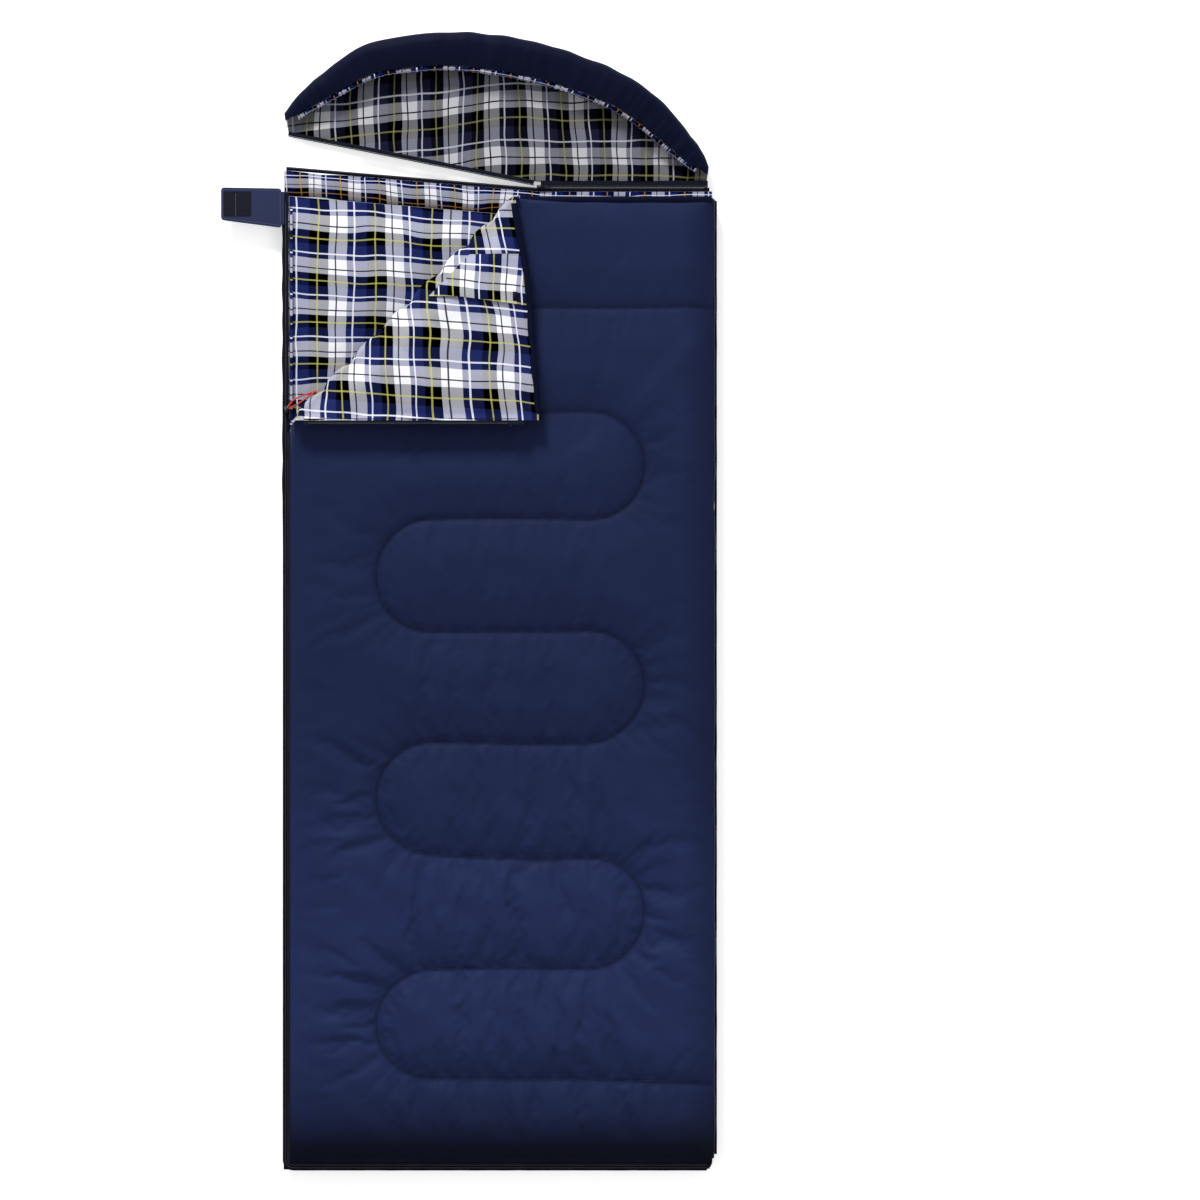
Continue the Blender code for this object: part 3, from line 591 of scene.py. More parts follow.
def inflated_skin(frames=30, pressure=2.4, slack=-0.024):
    """Heights of a cloth held along its edges and its stitching and blown up from below, on an even grid."""
    columns, rows = SKIN_COLUMNS, SKIN_ROWS
    xs, ys = np.linspace(FRONT_LEFT, PANEL_RIGHT, columns), np.linspace(FRONT_FOOT, FRONT_TOP, rows)
    x, y = [a.ravel() for a in np.meshgrid(xs, ys)]
    near, place = to_stitches(x, y)
    edge = np.minimum.reduce([x - FRONT_LEFT, PANEL_RIGHT - x, y - FRONT_FOOT, FRONT_TOP - y])
    held = (near < SKIN_STEP * 0.62) | (edge < 1e-6)
    z = np.where(held, 0.0, np.random.default_rng(7).uniform(0, 0.0004, len(x)))
    mesh = bpy.data.meshes.new("skin")
    mesh.from_pydata(np.stack([x, y, z], 1).tolist(), [], grid_faces(rows, columns))
    obj = linked("skin", mesh)
    obj.vertex_groups.new(name="held").add([int(k) for k in np.flatnonzero(held)], 1.0, "REPLACE")
    modifier = obj.modifiers.new("cloth", "CLOTH")
    cloth = modifier.settings
    cloth.quality = 5
    cloth.mass = 0.2
    cloth.tension_stiffness = cloth.compression_stiffness = 15.0
    cloth.shear_stiffness = 5.0
    cloth.bending_stiffness = 0.3
    cloth.use_pressure = True
    cloth.uniform_pressure_force = pressure
    cloth.vertex_group_mass = "held"
    cloth.shrink_min = slack
    cloth.effector_weights.gravity = 0.0
    modifier.collision_settings.use_collision = False
    modifier.point_cache.frame_start, modifier.point_cache.frame_end = 1, frames
    scene = bpy.context.scene
    for number in range(1, frames + 1):
        scene.frame_set(number)
    settled = obj.evaluated_get(bpy.context.evaluated_depsgraph_get()).to_mesh()
    places = np.zeros(len(settled.vertices) * 3)
    settled.vertices.foreach_get("co", places)
    obj.evaluated_get(bpy.context.evaluated_depsgraph_get()).to_mesh_clear()
    bpy.data.objects.remove(obj, do_unlink=True)
    scene.frame_set(1)
    return places.reshape(rows, columns, 3)[..., 2]


def blurred(field, cells):
    """The field smoothed over about that many cells."""
    reach = int(3 * cells)
    weights = np.exp(-0.5 * (np.arange(-reach, reach + 1) / cells) ** 2)
    weights /= weights.sum()
    for axis in (0, 1):
        padded = np.pad(field, [(reach, reach) if a == axis else (0, 0) for a in (0, 1)], mode="edge")
        field = sum(w * np.take(padded, range(k, k + field.shape[axis]), axis) for k, w in enumerate(weights))
    return field


SKIN = inflated_skin()
SKIN_FINE = SKIN - blurred(SKIN, 3.0)


def cubic(field, row, column):
    """The field read between its points, along smooth curves."""
    result = 0.0
    i, j = np.floor(row).astype(int), np.floor(column).astype(int)
    u, v = row - i, column - j

    def weights(t):
        return (-0.5 * t + t ** 2 - 0.5 * t ** 3, 1 - 2.5 * t ** 2 + 1.5 * t ** 3,
                0.5 * t + 2 * t ** 2 - 1.5 * t ** 3, -0.5 * t ** 2 + 0.5 * t ** 3)

    down, across = weights(u), weights(v)
    for a in range(4):
        for b in range(4):
            rows = np.clip(i + a - 1, 0, field.shape[0] - 1)
            columns = np.clip(j + b - 1, 0, field.shape[1] - 1)
            result = result + down[a] * across[b] * field[rows, columns]
    return result


def on_skin(field, x, y):
    return cubic(field, np.clip((y - FRONT_FOOT) / (FRONT_TOP - FRONT_FOOT), 0, 1) * (SKIN_ROWS - 1),
                 np.clip((x - FRONT_LEFT) / (PANEL_RIGHT - FRONT_LEFT), 0, 1) * (SKIN_COLUMNS - 1))


def from_edges(x, y, left, foot, top):
    """Distance to the nearest side of a rectangle, eased where two sides are about as near."""
    gaps = np.maximum(np.array([x - left, PANEL_RIGHT - x, y - foot, top - y]), 1e-5)
    return np.sum(gaps ** -4.0, axis=0) ** -0.25


def puffs(x, y, seed):
    """Height of a quilt's skin over its stitching, from 0 to about 1, with puckers drawn in by the stitches."""
    near, place = to_stitches(x, y)
    edge = from_edges(x, y, FRONT_LEFT, FRONT_FOOT, FRONT_TOP)
    valley = 0.42 * (1 - np.exp(-near / 0.0055)) + 0.58 * smooth(near / 0.085)
    full = valley * (1 - (1 - np.clip((edge + 0.004) / 0.070, 0, 1)) ** 2) ** 0.9
    foot = smooth((0.35 - y) / 1.0)
    middle = smooth((edge - 0.02) / 0.10)
    fine = on_skin(SKIN_FINE, x, y) / 0.020 * (0.45 + 1.00 * foot) * (0.25 + 0.75 * middle)
    side = 0.05 * ripples(x, y, 0.30, seed)
    creases = (0.020 + 0.055 * foot) * ripples(x + 0.8 * y, 0.35 * (y - 0.8 * x), 0.085, seed + 2)
    high = 0.90 * full + (side + creases) * full + fine * smooth(near / 0.006) * smooth(edge / 0.02)
    return np.clip(high, 0.0, 1.15), near


WARP_LOW, WARP_HIGH = 0.755, 0.840


def warp_front(x, y):
    """The straight grid's points moved so that its top edge follows the quilt's own."""
    return y + (front_top(x) - FRONT_TOP) * np.clip((y - WARP_LOW) / (WARP_HIGH - WARP_LOW), 0.0, 1.0)


def unwarp_front(x, y):
    """The straight grid's y of a point on the front quilt."""
    lift = front_top(x) - FRONT_TOP
    span = WARP_HIGH - WARP_LOW
    between = (y + lift * WARP_LOW / span) / (1 + lift / span)
    return np.where(y < WARP_LOW, y, np.where(between > WARP_HIGH, y - lift, between))


# The roll where the corner turns back: a soft, scalloped bend, its axis a little inside the fold line.
ROLL_IN = 0.008
ROLL_CLOTH = 0.017
DRAWN_OUT = 0.012
ROOT_HALF = math.sqrt(0.5)


def fold_side(x, y):
    """Distance from the fold line, positive on the front panel and negative on the corner."""
    return (x - y + FOLD_OFFSET) * ROOT_HALF


def fold_along(x, y):
    return (x + y) * ROOT_HALF


def from_fold(u, v):
    """(x, y) of a place given as its distance from the fold line and along it."""
    return (v + u) * ROOT_HALF - FOLD_OFFSET / 2, (v - u) * ROOT_HALF + FOLD_OFFSET / 2


HEM_X = FRONT_TOP - FOLD_OFFSET
FOLD_LOW = fold_along(FRONT_LEFT, FRONT_LEFT + FOLD_OFFSET) + 0.002
FOLD_HIGH = fold_along(front_top(0.0) - FOLD_OFFSET, front_top(0.0)) - 0.002


def drawn_out(x, y):
    """How far the turned-back corner is pulled to the right at a point over the bag."""
    return DRAWN_OUT * smooth(fold_side(x, y) / 0.13)


def turn_back(points):
    """The corner turned back about the fold line by half a turn, and drawn out a little."""
    points = np.asarray(points, float)
    x, y = points[:, 1] - FOLD_OFFSET, points[:, 0] + FOLD_OFFSET
    return np.stack([x + drawn_out(x, y), y, 2 * FOLD_Z - points[:, 2]], axis=1)


def on_fabric(x, y, taken=0.0):
    """The fabric's own coordinates on the front quilt. taken is the cloth used up by the fold's roll."""
    return np.stack([x + 0.075 * np.maximum(y - 0.52, 0.0) - taken * ROOT_HALF, y + taken * ROOT_HALF], axis=-1)


def billows(v):
    """0 at the gathers along the fold and 1 midway between them."""
    return np.abs(np.sin(math.pi * (v + 0.010 * ripples(v, v * 0, 0.2, 31)) / 0.078)) ** 0.85


def roll_radius(v):
    """The bend's outer radius along the fold."""
    return 0.0085 + 0.0028 * billows(v)


def quilt_skin(x, y, side):
    """Heights of the front quilt's shell (side 1) and lining (side -1), before the corner is turned back."""
    high, near = puffs(x, unwarp_front(x, y), 11 if side > 0 else 23)
    u, v = fold_side(x, y), fold_along(x, y)
    on_flap = smooth((0.02 - u) / 0.05)
    under = smooth((0.46 - np.abs(u)) / 0.05) * smooth((y - 0.40) / 0.06)
    if side > 0:
        roof = 0.0195 - 0.0060 * np.maximum(on_flap, under)
        z = MIDDLE_Z + 0.0012 + roof * high
        z = np.minimum(z, 0.0695 - 0.0085 * np.maximum(on_flap, under))
        near_fold = FOLD_Z - 0.0009 - 0.0015 * smooth(np.abs(np.abs(u) - ROLL_IN) / 0.02)
    else:
        z = MIDDLE_Z - 0.0012 - 0.0085 * high
        gather = (1 - billows(v + 0.10 * np.abs(u) * np.sin(v * 31))) * np.exp(-np.abs(u) / 0.075)
        z = z + on_flap * (0.0058 * gather + 0.0014 * ripples(x * 1.0, y * 0.45, 0.055, 29))
        near_fold = FOLD_Z - roll_radius(v)
    blend_in = smooth((np.abs(u) - ROLL_IN) / (0.090 if side > 0 else 0.050))
    return near_fold * (1 - blend_in) + z * blend_in


# How far the quilts' zipped edges reach towards the zip.
ZIP_LIP = 0.0086


def quilt_body(name, clip, materials, turned):
    points, faces, rim = flat_domain(FRONT_LEFT, PANEL_RIGHT, FRONT_FOOT, FRONT_TOP, clip, warp_front)
    x, warped = points[:, 0], points[:, 1]
    y = unwarp_front(x, warped)
    edge = np.minimum.reduce([x - FRONT_LEFT, PANEL_RIGHT - x, y - FRONT_FOOT, FRONT_TOP - y])
    round_x, round_y = rounded_corner(x, warped, PANEL_RIGHT, FRONT_FOOT, 0.014)
    upper = np.stack([round_x, round_y, quilt_skin(x, warped, 1)], axis=1)
    lower = np.stack([round_x, round_y, quilt_skin(x, warped, -1)], axis=1)
    tuck = smooth((0.010 - edge) / 0.010)
    upper[:, 2] = upper[:, 2] * (1 - tuck) + (MIDDLE_Z + 0.003) * tuck
    lower[:, 2] = lower[:, 2] * (1 - tuck) + (MIDDLE_Z - 0.003) * tuck
    lower[:, 2] -= ZIP_LIP * smooth((0.012 - np.minimum(x - FRONT_LEFT, y - FRONT_FOOT)) / 0.012)
    if turned:
        upper, lower = turn_back(upper), turn_back(lower)
    uvs = on_fabric(x, y, ROLL_CLOTH if turned else 0.0)
    mesh = closed_body(name, upper, lower, faces, rim, materials, uvs)
    mark_groove_shade(mesh, to_stitches(x, y)[0])
    return mesh


FOLD_MIDDLE = Vector((-FOLD_OFFSET / 2, FOLD_OFFSET / 2, 0.0))
ACROSS_FOLD = Vector((1, -1, 0)).normalized()
front_cut = (FOLD_MIDDLE + ACROSS_FOLD * ROLL_IN, -ACROSS_FOLD)
front = add_piece(quilt_body("front_quilt", front_cut, [SHELL_QUILT, LINING, SHELL], False),
                  "front_panel", "shell", "front_shell", "front_fill", "front_lining")
flap_cut = (FOLD_MIDDLE - ACROSS_FOLD * ROLL_IN, ACROSS_FOLD)
flap = add_piece(quilt_body("corner_quilt", flap_cut, [SHELL_QUILT, LINING_FLAP, SHELL], True),
                 "corner_flap", "lining", "flap_shell", "flap_fill", "flap_lining")


def fold_roll():
    """The bend itself: lining outside, shell inside, from the front panel round to the corner."""
    turns = np.linspace(0, math.pi, 17)
    rings, uvs = [], []
    for v in np.linspace(FOLD_LOW, FOLD_HIGH, int((FOLD_HIGH - FOLD_LOW) / 0.004)):
        radius = float(roll_radius(np.array([v]))[0])
        sag = 0.0060 * float(billows(np.array([v]))[0]) - 0.0050
        outer = [(ROLL_IN - (radius + sag) * math.sin(t), FOLD_Z - radius * math.cos(t)) for t in turns]
        inner = [(ROLL_IN - 0.0008 * math.sin(t), FOLD_Z - 0.0008 * math.cos(t)) for t in turns[::-1]]
        rings.append([(*from_fold(u, v), z) for u, z in outer + inner])
        flat_x, flat_y = from_fold(ROLL_IN - 2 * ROLL_IN * turns / math.pi, v)
        along = on_fabric(flat_x, unwarp_front(flat_x, flat_y), ROLL_CLOTH * turns / math.pi)
        uvs.append(np.vstack([along, along[::-1]]))
    return ring_tube("fold_roll", rings, LINING_FLAP, uvs)


roll = add_piece(fold_roll(), None, "lining")
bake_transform(roll)


def fold_strip():
    """The shell fabric inside the bend, which closes the panel's top when the corner is put back."""
    turns = np.linspace(0, math.pi, 13)
    ring = [(ROLL_IN + 0.0006 - high * math.sin(t), FOLD_Z - high * math.cos(t))
            for high, side in ((STRIP_HIGH, turns), (STRIP_HIGH * 0.6, turns[::-1])) for t in side]
    stations = np.linspace(FOLD_LOW, FOLD_HIGH, 160)
    rings = [[(*from_fold(u, v), z) for u, z in ring] for v in stations]
    uvs = [[(v + 0.016 * min(k, 25 - k) / 12, 0.5) for k in range(26)] for v in stations]
    return ring_tube("fold_strip", rings, SHELL, uvs)


STRIP_HIGH = 0.0006
strip = add_piece(fold_strip(), None, "shell")
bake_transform(strip)


def stitch_line(name, body, path, lift, length, gap, radius, material):
    """A row of separate stitches lying along a path of points, each a short thread that dips at its ends."""
    path = evenly(path, 0.001)
    pace, taken = int(round((length + gap) * 1000)), int(round(length * 1000))
    ahead, side, up = path_frames(path)
    points, faces = [], []
    turns = around(6)
    for start in range(0, len(path) - taken, pace):
        first = len(points)
        for k, (share, size) in enumerate(((0.0, 0.35), (0.22, 1.0), (0.78, 1.0), (1.0, 0.35))):
            at = start + int(round(share * taken))
            centre = path[at] + UP * (lift if 0 < k < 3 else lift - radius * 0.9)
            points += [centre + (side[at] * math.cos(t) + up[at] * math.sin(t)) * radius * size for t in turns]
        faces += [tuple(first + corner for corner in face) for face in grid_faces(4, 6, True)]
        faces += [tuple(first + m for m in range(5, -1, -1)), tuple(first + 18 + m for m in range(6))]
    mesh = bpy.data.meshes.new(name)
    mesh.from_pydata(np.asarray(points).tolist(), [], faces)
    mesh.materials.append(material)
    mesh.shade_smooth()
    return add_piece(mesh, body, "shell")


def split_runs(keep):
    """(first, last) of each unbroken run of kept points."""
    kept = np.flatnonzero(keep)
    breaks = np.flatnonzero(np.diff(kept) > 1)
    return list(zip(kept[np.concatenate([[0], breaks + 1])], kept[np.concatenate([breaks, [len(kept) - 1]])]))


stitch_x, stitch_y = STITCHES[:, 0], STITCHES[:, 1]
stitch_u = fold_side(stitch_x, stitch_y)
stitch_top = warp_front(stitch_x, stitch_y)
front_stitch = np.stack([stitch_x, stitch_top, quilt_skin(stitch_x, stitch_top, 1)], axis=1)
for number, (first, last) in enumerate(split_runs(stitch_u > ROLL_IN + 0.004)):
    if last - first > 4:
        stitch_line("front_stitching_%d" % number, "front_panel", front_stitch[first:last + 1], 0.0004,
                    0.004, 0.002, 0.0006, THREAD)


# ---------------------------------------------------------------- the back quilt
def warp_back(x, y):
    """The straight grid's points moved so that its top edge meets the neck band."""
    end = band_top(x) - BAND_WIDTH - 0.0006
    return y + (end - FRONT_TOP) * np.clip((y - 0.30) / (FRONT_TOP - 0.30), 0.0, 1.0)


def back_quilt():
    foot = BACK_FOOT
    points, faces, rim = flat_domain(PANEL_LEFT, PANEL_RIGHT, foot, FRONT_TOP)
    x, y = points[:, 0], points[:, 1]
    high, near = puffs(x, y, 47)
    full = smooth(from_edges(x, y, PANEL_LEFT, foot, FRONT_TOP) / 0.060)
    top = 0.0178 + 0.0072 * np.clip(high, 0, 1.1) * full + 0.0010 * ripples(x, y, 0.13, 51) * full
    top += ZIP_LIP * smooth((0.012 - np.minimum(x - PANEL_LEFT, y - foot)) / 0.012)
    low = 0.014 * (1 - full)
    uvs = np.stack([x, y], axis=1)
    round_x, round_y = rounded_corner(x, warp_back(x, y), PANEL_RIGHT, foot, 0.016)
    upper = np.stack([round_x, round_y, top], axis=1)
    lower = np.stack([round_x, round_y, low], axis=1)
    mesh = closed_body("back_quilt", upper, lower, faces, rim, [LINING, SHELL, SHELL], uvs)
    for face in mesh.polygons:
        if face.material_index == 0:
            centre = face.center
            if centre.y < -0.925 or (centre.x < -0.400 and centre.y < 0.505) or centre.x > 0.400:
                face.material_index = 2
    return mesh


back = add_piece(back_quilt(), "back_panel", "lining", "back_shell", "back_fill", "back_lining")
back_stitch = np.stack([stitch_x, warp_back(stitch_x, stitch_y), 0 * stitch_x + 0.0182], axis=1)
stitch_line("back_stitching", "back_panel", back_stitch, 0.0002, 0.004, 0.002, 0.0005, THREAD)


# ---------------------------------------------------------------- right-hand wall
def side_wall():
    """The shell fabric that runs round from the back quilt to the front quilt, through the piping."""
    turns = np.linspace(-0.5 * math.pi, 0.5 * math.pi, 15)
    outer, uvs = [], []
    for y in np.linspace(FRONT_FOOT + 0.010, FRONT_TOP - 0.002, 300):
        reach = 0.0106 + 0.0008 * float(ripples(y, 0.0, 0.06, 61))
        outer.append([(PANEL_RIGHT - 0.006 + reach * max(math.cos(t), 0.0) ** 0.35, y,
                       HINGE_Z + 0.0155 * math.sin(t)) for t in turns])
        uvs.append([(0.411 + 0.03 * min(k, 29 - k) / 14, y) for k in range(30)])
    outer = np.array(outer)
    inner = outer[:, ::-1] - (0.0012, 0.0, 0.0)
    return ring_tube("side_wall", np.concatenate([outer, inner], axis=1), SHELL, uvs)


wall = add_piece(side_wall(), None, "shell")
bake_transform(wall)


piping_y = np.arange(FRONT_FOOT + 0.016, FRONT_TOP - 0.003, 0.004)
piping_path = np.stack([HINGE_X + 0.0003 + 0.0002 * ripples(piping_y, 0 * piping_y, 0.08, 71), piping_y,
                        HINGE_Z + 0.0002 * ripples(piping_y, 0 * piping_y + 3, 0.08, 71)], axis=1)
piping = ring_tube("side_piping_cord", tube_rings(piping_path, 0.0024), TAPE)
add_piece(piping, "back_panel", "tape", "side_piping")


# ---------------------------------------------------------------- neck band
def neck_roll():
    """The padded band across the head of the back quilt, gathered near its left end."""
    turns = around(36)
    rings, uvs = [], []
    for x in np.linspace(PANEL_LEFT + 0.001, PANEL_RIGHT - 0.001, 240):
        gather = 0.0010 * math.sin(2 * math.pi * x / 0.011) * math.exp(-((x + 0.352) / 0.035) ** 2)
        gather += 0.0006 * float(ripples(x, 0.0, 0.030, 81))
        centre = float(band_top(x)) - BAND_WIDTH / 2
        half = (BAND_WIDTH / 2 - 0.0004) * (1.0 - 0.10 * math.exp(-((x + 0.352) / 0.03) ** 2))
        across = [power(math.cos(t), 0.75) * half for t in turns]
        rings.append([(x, centre + a, 0.0122 + power(math.sin(t), 0.75) * (0.0112 + gather))
                      for a, t in zip(across, turns)])
        uvs.append([(x, a - 0.0104) for a in across])
    return ring_tube("neck_roll", rings, LINING_BAND, uvs)


band = add_piece(neck_roll(), "back_panel", "lining", "neck_band_cover", "neck_band_fill")

# ---------------------------------------------------------------- hood
HOOD_OUTLINE = np.array((
    (-0.4190, 1.100), (-0.386, 1.141), (-0.328, 1.189), (-0.251, 1.235), (-0.116, 1.256), (0.0, 1.249),
    (0.116, 1.224), (0.232, 1.179), (0.300, 1.133), (0.352, 1.078), (0.388, 1.030), (0.404, 0.996)))
HOOD_THICK = 0.0105


def along_outline(t):
    place = t * (len(HOOD_OUTLINE) - 1)
    i = min(int(place), len(HOOD_OUTLINE) - 2)
    u = place - i
    p = [HOOD_OUTLINE[min(max(i + k, 0), len(HOOD_OUTLINE) - 1)] for k in (-1, 0, 1, 2)]
    return 0.5 * (2 * p[1] + (p[2] - p[0]) * u + (2 * p[0] - 5 * p[1] + 4 * p[2] - p[3]) * u * u
                  + (3 * p[1] - p[0] - 3 * p[2] + p[3]) * u ** 3)


def hood_profile(t, runs=22, turns=16, returns=5):
    """The outer surface from the neck edge to the rim's inner edge, as (inward, up)."""
    edge = along_outline(t)
    neck_x = -0.412 + 0.812 * t
    neck = np.array((neck_x, float(hood_neck(neck_x))))
    depth = np.linalg.norm(edge - neck)
    arch = math.sin(math.pi * t) ** 0.5 if 0 < t < 1 else 0.0
    radius = 0.0145 + 0.0085 * arch
    rim = max(radius * 1.15, min(0.070 * arch, depth * 0.45))
    points = []
    for k in range(runs):
        inward = depth + (radius - depth) * k / (runs - 1)
        run_in = min(0.06, depth - radius)
        points.append((inward, 0.0085 * run_in / 0.06 * (1 - float(smooth((depth - inward) / run_in)))))
    for k in range(1, turns + 1):
        turn = math.pi * k / turns
        points.append((radius - radius * math.sin(turn), radius - radius * math.cos(turn)))
    for k in range(1, returns + 1):
        s = k / returns
        points.append((radius + (rim - radius) * s, 2 * radius - 0.006 * arch * s * s))
    return edge, neck, np.array(points), arch


def hood_grid(inset, steps=170):
    grid, uvs = [], []
    for i in range(steps):
        t = i / (steps - 1)
        edge, neck, points, arch = hood_profile(t)
        inward = (neck - edge) / np.linalg.norm(neck - edge)
        thinned = inset * (1 - 0.45 * (2 * t - 1) ** 4)
        ahead = np.gradient(points, axis=0)
        ahead /= np.linalg.norm(ahead, axis=1, keepdims=True)
        normal = np.stack([ahead[:, 1], -ahead[:, 0]], axis=1)
        place = np.arange(len(points))
        on_rim = smooth((place - 20) / 6.0)
        drawn = smooth((place - 30) / 12.0)
        wrinkle = 0.0011 * np.sin(2 * math.pi * i / 4.3 + 1.7 * np.sin(i * 0.37)) * drawn
        wrinkle += 0.0010 * ripples(np.full(len(points), i * 0.006), place * 0.004, 0.05, 91) * on_rim
        inside = inset > 0.5 * HOOD_THICK
        if inside:
            flat = edge + inward * points[:, :1]
            wrinkle -= 0.0016 * ripples(flat[:, 0], flat[:, 1], 0.11, 93) * (1 - on_rim)
        moved = points + normal * (thinned + wrinkle * arch ** 0.5)[:, None]
        flat = edge + inward * moved[:, :1]
        line = np.stack([flat[:, 0], flat[:, 1], moved[:, 1]], axis=1)
        line[:, 2] = np.maximum(line[:, 2], 0.0002)
        grid.append(line)
        uvs.append(np.stack([flat[:, 1] - 0.12 * np.minimum(flat[:, 0], 0.0), flat[:, 0]], axis=1))
    return np.array(grid), np.array(uvs)


hood_outer, hood_uvs = hood_grid(0.0)
hood_inner = hood_grid(HOOD_THICK)[0]
hood_quilt = add_piece(
    grid_body("hood_quilt", hood_outer, hood_inner, [SHELL_DARK, LINING_HOOD_SHADED, SHELL_DARK], hood_uvs),
    "hood", "shell", "hood_shell", "hood_fill", "hood_lining")


def channel():
    """The gathered strip of lining that holds the drawcord, along the rim's inner edge."""
    rings, uvs = [], []
    steps = 420
    for i in range(steps):
        edge, neck, points, arch = hood_profile(0.045 + 0.91 * i / (steps - 1))
        inward = (neck - edge) / np.linalg.norm(neck - edge)
        centre = np.array([*(edge + inward * (points[-1][0] + 0.0050)), points[-1][1] - HOOD_THICK / 2])
        radius = 0.0041 + 0.0008 * math.sin(2 * math.pi * i / 5.0 + 1.3 * math.sin(i * 0.21))
        side = np.array([*inward, 0.0])
        rings.append([centre + side * math.cos(t) * radius + UP * math.sin(t) * radius for t in around(12)])
        uvs.append([(0.0025 * i, 0.004 * k) for k in range(12)])
    return ring_tube("drawcord_channel", rings, LINING_BAND, uvs)


add_piece(channel(), "hood", "lining", "hood_channel", "hood_drawcord")


# ---------------------------------------------------------------- zips
def coil(name, path, radius=0.0011, pitch=0.0022):
    """A moulded coil: one narrow turn after another on a core."""
    path = evenly(path, pitch / 4)
    swell = radius * (0.78 + 0.22 * np.abs(np.sin(np.arange(len(path)) * math.pi / 4)))
    return ring_tube(name, tube_rings(path, swell, 6), COIL)


def zip_path(x_off, start_y, end_x, z=CHAIN_Z):
    """Down the left side, round the foot corner and along the foot, x_off to the outside."""
    corner = CHAIN_CORNER + x_off
    centre = (CHAIN_X + CHAIN_CORNER, CHAIN_FOOT + CHAIN_CORNER)
    points = [(CHAIN_X - x_off, start_y, z), (CHAIN_X - x_off, centre[1], z)]
    for turn in np.linspace(0, math.pi / 2, 9)[1:]:
        points.append((centre[0] - corner * math.cos(turn), centre[1] - corner * math.sin(turn), z))
    points.append((end_x, CHAIN_FOOT - x_off, z))
    return np.array(points)


def flap_line(off, low, high, z):
    y = np.arange(low, high, 0.004)
    return turn_back(np.stack([CHAIN_X + off + 0 * y, y, z + 0 * y], axis=1))


def neck_lower(x):
    return NECK_CHAIN_Y + rise(x, BAND_RISE)


def neck_straight(x):
    return NECK_CHAIN_Y + 0 * x


def neck_path(line, low, high, off, z=NECK_CHAIN_Z):
    x = np.arange(low, high, 0.004)
    return np.stack([x, line(x) + off, z + 0 * x], axis=1)


NECK_LEFT, NECK_RIGHT, HOOD_RIGHT = -0.4150, 0.3960, NECK_SLIDER_X - 0.012
FRONT_ZIP_TOP, FLAP_ZIP_LOW = CHAIN_X + FOLD_OFFSET - 0.012, SLIDER_Y + 0.014
TAPE_Z = NECK_CHAIN_Z - 0.0014
back_tape = evenly(zip_path(0.0030, CHAIN_TOP + 0.02, FOOT_END, CHAIN_Z - 0.002), 0.004)
opened = smooth((back_tape[:, 1] - 0.20) / 0.30)
back_tape[:, 0] += 0.0008 * ripples(back_tape[:, 1], 0 * opened, 0.06, 100) * opened
# Each half zip's names and body, its tape's node, path, half width, waviness, seed and section, and its coil's
# node and path.
HALF_ZIPS = (
    ("back_zip_%s", "back_panel", "back_zip_tape", back_tape, 0.0050 + 0.0012 * opened, 0.0005, 101,
     sloped(0.15), "back_zip_coil", zip_path(0.0022, CHAIN_TOP, FOOT_END)),
    ("front_zip_%s", "front_panel", "front_zip_tape",
     zip_path(-0.0053, FRONT_ZIP_TOP, FOOT_END, CHAIN_Z + 0.005), 0.0031, 0.0004, 103,
     sloped(-1.6), "front_zip_coil", zip_path(-0.0022, FRONT_ZIP_TOP, FOOT_END)),
    ("corner_zip_%s", "corner_flap", "flap_zip_tape",
     flap_line(0.0058, FLAP_ZIP_LOW - 0.008, CHAIN_TOP + 0.018, CHAIN_Z + 0.006), 0.0060, 0.0006, 105,
     (0.0, 0.0, 0.15, 0.85, 1.0),
     "flap_zip_coil", flap_line(0.0022, FLAP_ZIP_LOW, CHAIN_TOP - DRAWN_OUT, CHAIN_Z - 0.0002)),
    ("neck_%s_lower", "back_panel", "neck_tape_lower",
     neck_path(neck_lower, NECK_LEFT, NECK_RIGHT + 0.012, -0.0038, TAPE_Z), 0.0036, 0.0, 107,
     sloped(0.0), "neck_coil_lower", neck_path(neck_lower, NECK_LEFT, NECK_RIGHT, -0.0023)),
    ("neck_%s_upper", "back_panel", "neck_tape_upper",
     neck_path(neck_straight, NECK_SLIDER_X, NECK_RIGHT + 0.010, 0.0068, TAPE_Z), 0.0066, 0.0, 109,
     sloped(0.0), "neck_coil_upper", neck_path(neck_straight, NECK_SLIDER_X, NECK_RIGHT, 0.0023)),
    ("hood_%s", "hood", "hood_tape",
     neck_path(hood_neck, NECK_LEFT + 0.004, HOOD_RIGHT, -0.0040), 0.0036, 0.0003, 111,
     sloped(0.0), "hood_coil", neck_path(hood_neck, NECK_LEFT + 0.004, HOOD_RIGHT, -0.0090)))
for names, body, tape_node, tape, half, wave, seed, section, coil_node, teeth in HALF_ZIPS:
    add_piece(ribbon(names % "ribbon", tape, half, wave, seed, section), body, "tape", tape_node)
    add_piece(coil(names % "teeth", teeth), body, "coil", coil_node)


